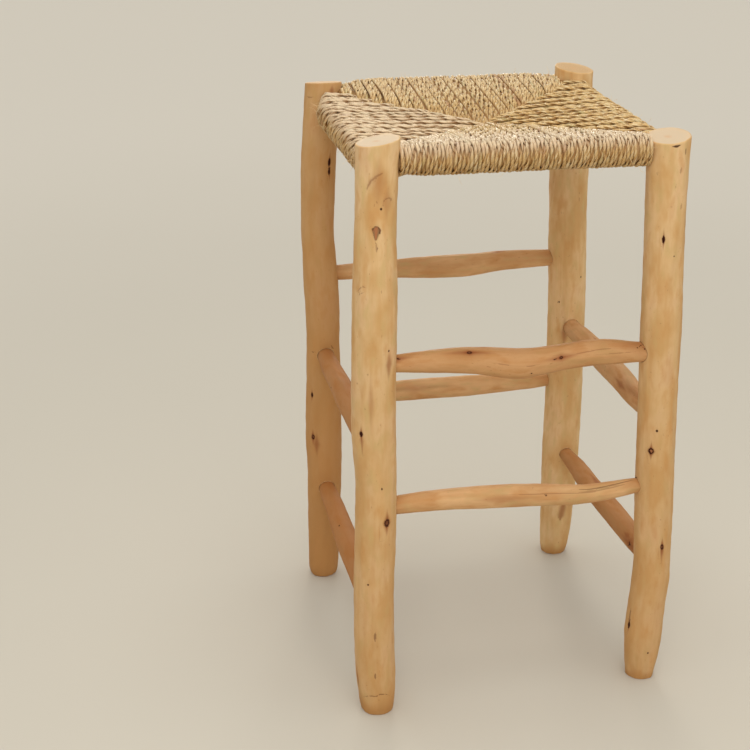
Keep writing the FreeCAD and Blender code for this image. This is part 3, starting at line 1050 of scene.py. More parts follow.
@dataclass
class Leg(Pole):
    """Leg: a stout pole with a sawn top, a whittled foot and bored mortises."""

    corner: Corner = Corner.FRONT_LEFT

    def centre(self, height: float) -> Array:
        """Returns the point of the leg's axis, in metres, at a height in millimetres."""
        right, up, _ = self.axis(np.array([float(height)]))
        return np.array([right[0], up[0], height]) * MM

    def build(self, woods: Woods, bores: list[Bore]) -> None:
        """Models, bores and dresses the leg.

        Args:
            woods: finishes of the poles.
            bores: mortises of its rails and rungs.
        """
        leg = self.straight()
        self.shape(leg, np.eye(3), np.zeros(3), woods.leg, woods.sawn, woods.bored)
        pick(*[bore.cutter() for bore in bores])
        bpy.ops.object.join()
        bit = bpy.context.active_object
        bpy.ops.object.transform_apply(location=True, rotation=True, scale=True)
        for material in leg.data.materials:
            bit.data.materials.append(material)
        for face in bit.data.polygons:
            face.material_index = len(leg.data.materials) - 1
        modifier = leg.modifiers.new("mortises", "BOOLEAN")
        modifier.operation = "DIFFERENCE"
        modifier.solver = "EXACT"
        modifier.object = bit
        pick(leg)
        bpy.ops.object.modifier_apply(modifier=modifier.name)
        bpy.data.objects.remove(bit)
        hand_over(leg, "leg_wood", f"leg_{self.corner.label}")


@dataclass
class Stick(Pole):
    """Thin pole of a rung, shaved harder than a leg."""

    flats: int = 9
    sides: int = 72
    whittle_reach: float = 52.0
    roundness: float = 1.3
    cut_depth: float = 0.985
    crispness: float = 230.0
    wear_reach: float = 26.0
    wear_share: float = 0.55


@dataclass
class Rung:
    """Rung: a thinner stick between two legs, whittled at both ends to enter its mortises.

    Lengths are in millimetres.

    Attributes:
        side, level: side of the stool, and upper or lower.
        height, rise: height of its middle, and rise from its start leg to its end leg.
        stations: places as shares of the way from leg axis to leg axis, each with the lift of the
            rung's axis and its girth.
        marks, seed: knots and cracks from the start leg's axis on, and the seed of its shaving.
        play: how much wider than the rung its mortises are.
        tone: share of a darker, browner colour: painted shade.
    """

    side: Side
    level: Level
    height: float
    rise: float
    stations: tuple[Point, ...]
    marks: tuple[Mark, ...]
    seed: int
    play: float = 0.3
    tone: float = 0.0

    # Distances from the leg's axis to the end of the tenon and to the bottom of its mortise.
    TENON_SETBACK = 11.0
    BORE_SETBACK = 10.5
    TENON_TAPER = 1.0
    # How far the stick wanders sideways, in millimetres.
    DRIFT = 1.5

    @property
    def name(self) -> str:
        """Name of the rung's solid."""
        return f"rung_{self.side.label}_{self.level.label}"

    def ends(self, legs: dict[Corner, Leg]) -> tuple[Array, Array]:
        """Returns where the rung's line meets the axes of its two legs, in metres."""
        start, end = (legs[corner] for corner in self.side.corners)
        return start.centre(self.height - self.rise / 2), end.centre(self.height + self.rise / 2)

    def bores(self, legs: dict[Corner, Leg]) -> dict[Corner, Bore]:
        """Places the rung's mortises.

        Args:
            legs: the legs by corner.

        Returns:
            The two mortises by the leg's corner.
        """
        first, last = self.ends(legs)
        heading = unit(last - first)
        found = {}
        for corner, point, inward, (_, lift, girth) in zip(
            self.side.corners, (first, last), (heading, -heading), (self.stations[0], self.stations[-1])
        ):
            up = np.array([0, 0, (lift + self.play / 3) * MM])
            found[corner] = Bore(point + inward * self.BORE_SETBACK * MM + up, inward, girth + self.play)
        return found

    def build(self, legs: dict[Corner, Leg], woods: Woods) -> None:
        """Models and dresses the rung.

        Args:
            legs: the legs by corner.
            woods: finishes of the poles.
        """
        first, last = self.ends(legs)
        span = float(np.linalg.norm(last - first)) / MM
        along = (last - first) / (span * MM)
        up = unit(np.cross(along, self.side.turn @ np.array([0.0, 1.0, 0.0])))
        inward = np.cross(up, along)
        length = span - 2 * self.TENON_SETBACK
        rng = np.random.default_rng(self.seed + 40)
        drifts = [float(rng.uniform(-self.DRIFT, self.DRIFT)) for _ in self.stations]
        drifts[0] = drifts[-1] = 0.0
        stations = [
            (share * span - self.TENON_SETBACK, drift, lift, girth)
            for (share, lift, girth), drift in zip(self.stations, drifts)
        ]
        near_tip, far_tip = (
            (place, 0.0, station[2], station[3] - self.TENON_TAPER)
            for place, station in ((0.0, stations[0]), (length, stations[-1]))
        )
        stick = Stick(
            f"shaved_{self.name}",
            (near_tip, *stations, far_tip),
            tuple(mark.moved(-self.TENON_SETBACK) for mark in self.marks),
            self.seed,
            tone=(self.tone, self.tone),
            whittled=(0.0, length),
        )
        rung = stick.straight()
        basis = np.column_stack([inward, up, along])
        stick.shape(rung, basis, first + along * self.TENON_SETBACK * MM, woods.rung, woods.sawn)
        hand_over(rung, "rung_wood", self.name)


# Corded seat


def tube_faces(rings: int, sides: int) -> list[Face]:
    """Joins rings of points into a closed tube.

    Args:
        rings: number of rings.
        sides: points in each ring.

    Returns:
        The faces ring by ring, then the cap of the start and the cap of the end.
    """
    faces = []
    last = (rings - 1) * sides
    for low in range(0, last, sides):
        high = low + sides
        for side in range(sides):
            following = (side + 1) % sides
            faces.append((low + side, low + following, high + following, high + side))
    faces.append(tuple(reversed(range(sides))))
    faces.append(tuple(range(last, last + sides)))
    return faces


@dataclass
class CordSkin:
    """Surface of many strands, gathered for one mesh with what the cord's finish reads."""

    points: list[Array] = field(default_factory=list)
    faces: list[Face] = field(default_factory=list)
    coords: list[Spot] = field(default_factory=list)
    tones: list[Array] = field(default_factory=list)
    creases: list[Array] = field(default_factory=list)
    count: int = 0

    def add(
        self, points: Array, faces: list[Face], coords: list[Spot], tone: Amount, crease: Amount
    ) -> None:
        """Adds one strand, or the stuffing.

        Args:
            points: its points.
            faces: its faces, as indices of its own points.
            coords: place on the cord at each face's corners, in metres round and along it.
            tone, crease: tone, and share of brown dirt and painted shade from 0 to 1, for all its points
                or for each.
        """
        self.points.append(points)
        self.faces.extend(tuple(self.count + corner for corner in face) for face in faces)
        self.coords.extend(coords)
        self.tones.append(np.broadcast_to(tone, len(points)))
        self.creases.append(np.broadcast_to(crease, len(points)))
        self.count += len(points)

    def piece(self, name: str, cord: Material, places: Array, pallor: Amount, handled: Amount) -> Piece:
        """Makes the mesh, which no operator can twist or bend from a primitive.

        Args:
            name: name of the piece.
            cord: finish of the cord.
            places: all points in the stool's axes, in metres.
            pallor, handled: strength of the painted sheen and of the painted shade from 0 to 1, for all
                points or for each.

        Returns:
            The new object.
        """
        mesh = bpy.data.meshes.new(name)
        mesh.from_pydata(places.tolist(), [], self.faces)
        mesh.uv_layers.new(name="lay")
        mesh.uv_layers["lay"].uv.foreach_set("vector", np.array(self.coords, np.float32).ravel())
        set_attributes(
            mesh,
            ply_tone=np.concatenate(self.tones),
            crease=np.concatenate(self.creases),
            pallor=np.broadcast_to(pallor, len(places)),
            handled=np.broadcast_to(handled, len(places)),
        )
        mesh.materials.append(cord)
        return add_object(name, mesh)


@dataclass(frozen=True)
class Ply:
    """Ply of a cord: distance of its middle from the cord's line, and its size, in millimetres."""

    offset: float
    thickness: float
    width: float

    @property
    def girth(self) -> float:
        """Distance round the ply in metres."""
        return math.pi * (self.thickness + self.width) / 2 * MM


@dataclass(frozen=True)
class Bed:
    """Stuffing: its distances from the courses' lines in millimetres, and its painted shade from 0 to 1,
    which darkens the gaps between courses.
    """

    up: float
    out: float
    shade: float


@dataclass
class CordedPanel:
    """Quarter of the seat: courses of two-ply cord wound round one rail and mitred to a triangle.

    Lengths are in millimetres. Heights, tapers and rooms are for the start leg and the end leg.

    Attributes:
        side: side that its rail lies on.
        half_length: half the rail's length between leg axes.
        depth: distance of the rail's axis from the middle of the seat.
        courses, seed: number of turns of cord, and seed of their unevenness.
        heights: heights of the wrap's axis.
        proud: how unevenly the courses lie.
        tapers: shares of the wrap's radius that are missing upwards and outwards.
        rooms: distances from the legs' axes to the nearest course.
        ply: size of a ply.
        parting: least and most widening of the gap after each group of courses.
        pallor: strength of the painted pale sheen on the top of its cord, from 0 to 1.
        bed: the stuffing under the courses.
    """

    side: Side
    half_length: float
    depth: float
    courses: int
    seed: int
    heights: Spot
    proud: float
    tapers: tuple[Spot, Spot]
    rooms: Spot
    ply: Ply
    parting: Spot
    pallor: float
    bed: Bed

    WRAP_RADIUS = 15.8
    TAPER_REACH = 19.0
    # Heights of the seat's middle on top and underneath.
    MIDDLE_TOP = 677.2
    MIDDLE_BOTTOM = 663.4
    # Heights above the wrap's axis where the painted sheen starts and is full and where the painted
    # shade is full and ends, and distances out from the rail where the painted shade starts and is full.
    BLEACHED = (5.0, 13.5)
    BROWNED = (0.0, 9.0)
    BROWNED_OUT = (5.0, 14.0)
    # Least size of a group of courses, and the size that it stays under.
    GROUP = (3, 6)
    GAP_SPREAD = (0.88, 1.12)
    LIFT_SPREAD = (-0.3, 0.3)
    RIDER_SPREAD = (0.75, 1.15)
    # Degrees round the rail where a course has its points, and how full it lies there.
    WRAP_TURNS = (100, 135, 180, 225, 260)
    WRAP_FULLNESS = 1 / 0.925
    FULLNESS_SPREAD = (-0.012, 0.03)
    # Distance between rings, length of one turn of the twist, and points round a ply.
    STEP = 2.6
    LAY = 20.5
    LAY_SPREAD = (0.92, 1.1)
    PLY_SIDES = 7
    # Strips that stand out of a ply: how many, how fast they turn with it and how far they stand.
    STRIPS = ((2, -0.5, 0.07), (3, 0.4, 0.05))
    # Degrees round the rail and distances from the panel's ends where the stuffing has points.
    BED_TURNS = range(90, 271, 30)
    BED_ENDS = (0, 12, 28)
    BED_TONE = 0.8
    # Share of the way from a leg to the seat's middle where the stuffing's mitre starts.
    MITRE_REACH = 0.09

    def __post_init__(self) -> None:
        """Seeds the panel's unevenness."""
        self.rng = np.random.default_rng(self.seed)

    def edges(self) -> Spot:
        """Returns the places of the first and the last course along the rail."""
        return self.rooms[0] - self.half_length, self.half_length - self.rooms[1]

    def height(self, place: float) -> float:
        """Returns the height of the wrap's axis at a place along the rail."""
        return float(np.interp(place, (-self.half_length, self.half_length), self.heights))

    def layout(self) -> Iterable[Point]:
        """Spaces the courses in small uneven groups, as a weaver beats them together.

        They lie more evenly where they wrap the rail, and one course beside each gap rides up.

        Returns:
            Place round the rail, place across the seat and lift of each course, in millimetres.
        """
        ends = []
        course = int(self.rng.integers(*self.GROUP))
        while course < self.courses:
            ends.append(course)
            course += int(self.rng.integers(*self.GROUP))
        gaps = self.rng.uniform(*self.GAP_SPREAD, self.courses - 1)
        for course in ends:
            gaps[course - 1] *= self.rng.uniform(*self.parting)
        travel = np.concatenate([[0.0], np.cumsum(gaps)])
        first, last = self.edges()
        grouped = first + travel / travel[-1] * (last - first)
        even = np.linspace(first, last, self.courses)
        wrapped = even + (grouped - even) * min(1.0, 0.4 + self.proud / 4)
        lifts = self.rng.uniform(*self.LIFT_SPREAD, self.courses)
        rider = 1 if self.side is Side.LEFT else 0
        for course in ends:
            lifts[course - rider] += self.proud * self.rng.uniform(*self.RIDER_SPREAD)
        return zip(wrapped, grouped, lifts)

    def wrap(self, place: float) -> Spot:
        """Reads how far the cord's line stands off the rail's axis, less beside the legs.

        Args:
            place: place along the rail.

        Returns:
            Distances upwards and outwards in millimetres.
        """
        rise = swell = self.WRAP_RADIUS
        for edge, (loss_up, loss_out) in zip(self.edges(), self.tapers):
            share = math.exp(-(((place - edge) / self.TAPER_REACH) ** 2))
            rise -= self.WRAP_RADIUS * loss_up * share
            swell -= self.WRAP_RADIUS * loss_out * share
        return rise, swell

    def route(self, wrapped: float, place: float, lift: float) -> list[Point]:
        """Lays one course: up out of the seat, over the top, round the rail and back underneath.

        Args:
            wrapped: the course's place round the rail.
            place: its place across the seat.
            lift: how far it stands off its neighbours.

        Returns:
            Control points along, inwards and up in the side's own axes, in millimetres.
        """
        run = self.depth * (1 - abs(place) / self.half_length)
        tuck, dip, fold, middle, near = run + 17, run + 6, run - 3.5, 0.62 * run, 0.28 * run
        rise, swell = self.wrap(wrapped)
        height = self.height(wrapped)
        drop, bulge = 0.5 * lift, 0.35 * lift
        points = []

        def put(spot: float, inward: float, up: float, jitter: float) -> None:
            """Adds one point with its unevenness."""
            points.append((spot + self.rng.uniform(-jitter, jitter), inward - self.depth, up))

        def cross(level: float, goal: float, stops: tuple[Point, ...]) -> None:
            """Adds points between the rail and the seat's middle: how far in, how far up, jitter."""
            for inward, above, jitter in stops:
                put(place, inward, level + (goal - level) / self.depth * min(inward, run) + above, jitter)

        top = ((tuck, -9.0, 0.3), (dip, -6.5, 0.3), (fold, lift - 0.4, 0.5), (middle, lift + 0.2, 0.7))
        cross(height + rise, self.MIDDLE_TOP, (*top, (near, drop, 0.5)))
        for turn in self.WRAP_TURNS:
            fullness = self.WRAP_FULLNESS + self.rng.uniform(*self.FULLNESS_SPREAD)
            angle = math.radians(turn)
            up = height + (rise * fullness + bulge) * math.sin(angle)
            put(wrapped, (swell * fullness + bulge) * math.cos(angle), up, 0.5)
        low = ((near, -0.3 * drop, 0.5), (middle, -drop, 0.7), (fold, -drop, 0.5), (dip, 4.0, 0.3))
        cross(height - rise, self.MIDDLE_BOTTOM, (*low, (tuck, 5.0, 0.3)))
        return points

    def lines(self, routes: list[list[Point]]) -> list[Array]:
        """Draws the routes as smooth NURBS splines and reads points off them.

        Args:
            routes: control points of each course, as many for each, in millimetres.

        Returns:
            Evenly spaced points of each course.
        """
        curve = bpy.data.curves.new("course_routes", "CURVE")
        curve.dimensions = "3D"
        for route in routes:
            spline = curve.splines.new("NURBS")
            spline.points.add(len(route) - 1)
            for point, place in zip(spline.points, route):
                point.co = (*place, 1.0)
            spline.order_u = 3
            spline.use_endpoint_u = True
            spline.resolution_u = 10
        guide = add_object("course_routes", curve)
        mesh = bpy.data.meshes.new_from_object(guide)
        points = np.array([vert.co for vert in mesh.vertices], float)
        bpy.data.objects.remove(guide)
        bpy.data.curves.remove(curve)
        bpy.data.meshes.remove(mesh)
        found = []
        for smooth in np.split(points, len(routes)):
            travel = np.concatenate([[0], np.cumsum(np.linalg.norm(np.diff(smooth, axis=0), axis=1))])
            even = np.linspace(0, travel[-1], int(travel[-1] / self.STEP) + 1)
            found.append(np.column_stack([np.interp(even, travel, smooth[:, axis]) for axis in range(3)]))
        return found

    def twist(self, course: Array, phase: float) -> tuple[Array, Array, Array]:
        """Twists one ply round a course's line.

        Args:
            course: points of the course.
            phase: turn of the ply at the start, in radians.

        Returns:
            Rings of points, each point's share from 0 to 1 of brown dirt and painted shade in the creases
            between plies and of painted shade on the lower sides of proud courses, and the distance along
            the course at each ring.
        """
        tangent = np.gradient(course, axis=0)
        tangent /= np.linalg.norm(tangent, axis=1, keepdims=True)
        normal = np.cross([1.0, 0.0, 0.0], tangent)
        normal /= np.linalg.norm(normal, axis=1, keepdims=True)
        side = np.cross(tangent, normal)
        travel = np.arange(len(course)) * self.STEP
        lay = self.LAY * self.rng.uniform(*self.LAY_SPREAD)
        spin = phase + 2 * np.pi * travel / lay + 0.3 * waves(travel, (61, 37), self.rng)
        swell = self.rng.uniform(0.93, 1.07) * (1 + 0.05 * waves(travel, (29, 17), self.rng))
        outward = np.cos(spin)[:, None] * normal + np.sin(spin)[:, None] * side
        sideways = np.cos(spin)[:, None] * side - np.sin(spin)[:, None] * normal
        turn = np.linspace(0, 2 * np.pi, self.PLY_SIDES, endpoint=False)[None, :]
        ridge = 1
        for strips, drift, size in self.STRIPS:
            start = self.rng.uniform(0, 6)
            ridge = ridge + size * np.cos(strips * turn + drift * spin[:, None] + start)
        ridge = ridge * swell[:, None]
        out = self.ply.offset + self.ply.thickness / 2 * ridge * np.cos(turn)
        wide = self.ply.width / 2 * ridge * np.sin(turn)
        middles = course[:, None, :]
        rings = middles + out[..., None] * outward[:, None, :] + wide[..., None] * sideways[:, None, :]
        # Brown dirt and painted shade in the creases between plies.
        crease = np.clip((self.ply.offset + 0.85 - np.hypot(out, wide)) / 0.9, 0, 1)
        # Painted shade on the lower sides of proud courses, where their neighbours would shade them.
        below = np.einsum("rsk,rk->rs", rings - middles, normal)
        flank = min(1.0, self.proud / 3) * np.clip((below - 0.2) / 1.2, 0, 1)
        return rings, np.maximum(crease, flank), travel

    def lay_coords(self, travel: Array, shift: float) -> list[Spot]:
        """Lays out a ply's place on the cord, corner by corner of its faces.

        Args:
            travel: distance along the course at each ring, in millimetres.
            shift: start along the cord in metres, so that no two plies look alike.

        Returns:
            Metres round and along the ply.
        """
        sides = self.PLY_SIDES
        across = [self.ply.girth * side / sides for side in range(sides + 1)]
        along = [place * MM + shift for place in travel]
        coords = []
        for start, stop in zip(along, along[1:]):
            for left, right in zip(across, across[1:]):
                coords.extend([(left, start), (right, start), (right, stop), (left, stop)])
        coords.extend([(place, shift) for place in reversed(across[:sides])])
        coords.extend([(place, along[-1]) for place in across[:sides]])
        return coords

    def core(self) -> tuple[list[Point], list[Face]]:
        """Models the stuffing under the courses: a sleeve round the rail that thins to the middle.

        Returns:
            Points in the side's own axes, and faces as point indices.
        """
        start, stop = self.edges()
        points, faces = [], []
        turns = [math.radians(turn) for turn in self.BED_TURNS]
        sections = [start + gap for gap in self.BED_ENDS]
        sections += [stop - gap for gap in reversed(self.BED_ENDS)]
        for place in sections:
            rise, swell = self.wrap(place)
            for turn in turns:
                across = (swell - self.bed.out) * math.cos(turn) - self.depth
                up = self.height(place) + (rise - self.bed.up) * math.sin(turn)
                points.append((place, across, up))
        count, last = len(turns), (len(sections) - 1) * len(turns)
        top, bottom = len(points), len(points) + 1
        points.append((0, 0, self.MIDDLE_TOP - self.bed.up))
        points.append((0, 0, self.MIDDLE_BOTTOM + self.bed.up))
        for end, rim_start in ((-1, 0), (1, last)):
            for middle, rim in ((top, 0), (bottom, count - 1)):
                rim_height = points[rim_start + rim][2]
                up = rim_height + (points[middle][2] - rim_height) * self.MITRE_REACH
                place = end * self.half_length * (1 - self.MITRE_REACH)
                points.append((place, self.depth * (self.MITRE_REACH - 1), up))
        start_top, start_bottom, stop_top, stop_bottom = range(bottom + 1, bottom + 5)
        for low in range(0, last, count):
            high = low + count
            for step in range(count - 1):
                faces.append((low + step, low + step + 1, high + step + 1, high + step))
            faces.append((low, high, top))
            faces.append((high + count - 1, low + count - 1, bottom))
        faces += [
            (start_top, 0, top),
            (last, stop_top, top),
            (count - 1, start_bottom, bottom),
            (stop_bottom, last + count - 1, bottom),
            (*reversed(range(count)), start_top, start_bottom),
            (*range(last, last + count), stop_bottom, stop_top),
            (start_bottom, start_top, top, bottom),
            (stop_top, stop_bottom, bottom, top),
        ]
        return points, faces

    def build(self, cord: Material) -> list[Array]:
        """Winds and dresses the panel.

        Args:
            cord: finish of the cord.

        Returns:
            Lines of its courses in the stool's axes, in metres.
        """
        rng = self.rng
        lines = self.lines([self.route(*course) for course in self.layout()])
        skin = CordSkin()
        for course in lines:
            phase = rng.uniform(0, 2 * math.pi)
            course_tone = rng.random()
            for strand in range(2):
                rings, crease, travel = self.twist(course, phase + strand * math.pi)
                coords = self.lay_coords(travel, rng.uniform(0, 9))
                tone = 0.6 * course_tone + 0.4 * rng.random() + 0.12 * waves(travel, (83, 47), rng)
                tone = np.repeat(np.clip(tone, 0, 1), self.PLY_SIDES)
                faces = tube_faces(len(travel), self.PLY_SIDES)
                skin.add(rings.reshape(-1, 3), faces, coords, tone, crease.ravel())
        points, faces = self.core()
        coords = [(points[corner][0] * MM, points[corner][1] * MM) for face in faces for corner in face]
        # The stuffing takes painted shade, which darkens the gaps between courses.
        skin.add(np.array(points), faces, coords, self.BED_TONE, self.bed.shade)

        placed = np.concatenate(skin.points)
        above = placed[:, 2] - np.mean(self.heights)
        # Painted shade on the lower half and on the outer faces of the wraps.
        low = np.interp(above, self.BROWNED, (1, 0))
        outer = np.interp(-self.depth - placed[:, 1], self.BROWNED_OUT, (0, 1))
        # Painted sheen on the tops of the wraps.
        pallor = np.interp(above, self.BLEACHED, (0, self.pallor))
        turn = self.side.turn.T
        name = f"corded_{self.side.label}"
        panel = skin.piece(name, cord, placed @ turn * MM, pallor, np.maximum(low, outer))
        pick(panel)
        bpy.ops.object.shade_smooth()
        hand_over(panel, "palm_cord", f"weave_{self.side.label}")
        return [course @ turn * MM for course in lines]


@dataclass
class StrayFibres:
    """Loose leaf fibres that stand off the cords, some placed along the seat's edges, the rest at random.

    Attributes:
        placed: start, heading and length of fibres that catch the eye, in millimetres.
        count, seed: number of random fibres, and seed of their places and bends.
        thickness, lengths: thickness, and least and greatest length of a random one, in millimetres.
    """

    placed: tuple[tuple[Point, Point, float], ...]
    count: int = 420
    seed: int = 71
    thickness: float = 0.45
    lengths: Spot = (5.0, 17.0)

    STEPS = 9
    TURNS = (0.0, 2.1, 4.2)
    # Share of the thickness that is gone at the tip.
    THINNING = 0.75
    # Point in metres that they lean away from, and millimetres off a course's line where they start.
    HEART = (0.0, 0.0, 0.655)
    ROOT = 1.8
    # Rings at a course's ends that grow none.
    BARE_RINGS = 12
    # Tone of every fibre, its brown dirt and painted shade, and its painted sheen.
    TONE = 0.5
    CREASE = 0.1
    PALLOR = 0.2

    def __post_init__(self) -> None:
        """Seeds the fibres' places and bends."""
        self.rng = np.random.default_rng(self.seed)

    def hair(self, start: Array, heading: Array, length: float) -> Array:
        """Bends one fibre.

        Args:
            start: root of the fibre in metres.
            heading: direction that it leaves in.
            length: length in millimetres.

        Returns:
            Points along the fibre in metres.
        """
        heading = unit(heading)
        bend = self.rng.normal(0, 1.0, 3)
        points = [start]
        for _ in range(self.STEPS - 1):
            heading = unit(heading + 0.16 * bend + self.rng.normal(0, 0.05, 3))
            points.append(points[-1] + heading * length / (self.STEPS - 1) * MM)
        return np.array(points)

    def build(self, lines: list[Array], cord: Material) -> None:
        """Grows the fibres out of the cords: the placed ones, then the random ones.

        Args:
            lines: lines of all courses in metres.
            cord: finish of the cord.
        """
        rng = self.rng
        hairs = []
        for start, heading, length in self.placed:
            hairs.append(self.hair(np.array(start) * MM, np.array(heading, float), length))
        for _ in range(self.count):
            course = lines[rng.integers(len(lines))]
            ring = rng.integers(self.BARE_RINGS, len(course) - self.BARE_RINGS)
            along = unit(course[ring + 2] - course[ring - 2])
            outward = unit(course[ring] - np.array(self.HEART))
            heading = 0.6 * outward + rng.choice([-1, 1]) * along + rng.normal(0, 0.35, 3)
            root = course[ring] + outward * self.ROOT * MM
            hairs.append(self.hair(root, heading, rng.uniform(*self.lengths)))
        skin = CordSkin()
        sides = len(self.TURNS)
        faces = tube_faces(self.STEPS, sides)
        # One place on the cord for each face, since a fibre is a single strip.
        coords = [(side * MM, 2 * step * MM) for step in range(self.STEPS - 1) for side in range(sides)]
        coords = [place for place in coords for _ in range(4)] + [(0.0, 0.0)] * (2 * sides)
        ring = np.array([(math.cos(t), math.sin(t) * 0.7, math.sin(t) * 0.7) for t in self.TURNS])
        sizes = self.thickness / 2 * MM * (1 - self.THINNING * np.arange(self.STEPS) / (self.STEPS - 1))
        for hair in hairs:
            points = hair[:, None, :] + sizes[:, None, None] * ring[None, :, :]
            skin.add(points.reshape(-1, 3), faces, coords, self.TONE, self.CREASE)
        fibres = skin.piece("stray_fibres", cord, np.concatenate(skin.points), self.PALLOR, 0.0)
        hand_over(fibres, "palm_cord")


# Stool


def bowed(depth: Point, *stations: Point) -> tuple[tuple[float, float, float, float], ...]:
    """Gives the stations of a leg their place along Y.

    Args:
        depth: place of the axis along Y at the seat, its lean out to the foot, and its bow between.
        stations: height, place along X and girth.

    Returns:
        Height, places along X and Y, and girth.
    """
    seat = 680
    base, lean, bow = depth
    found = []
    for height, right, girth in stations:
        up = base + lean * (1 - height / seat) + bow * math.sin(math.pi * height / seat)
        found.append((height, right, up, girth))
    return tuple(found)


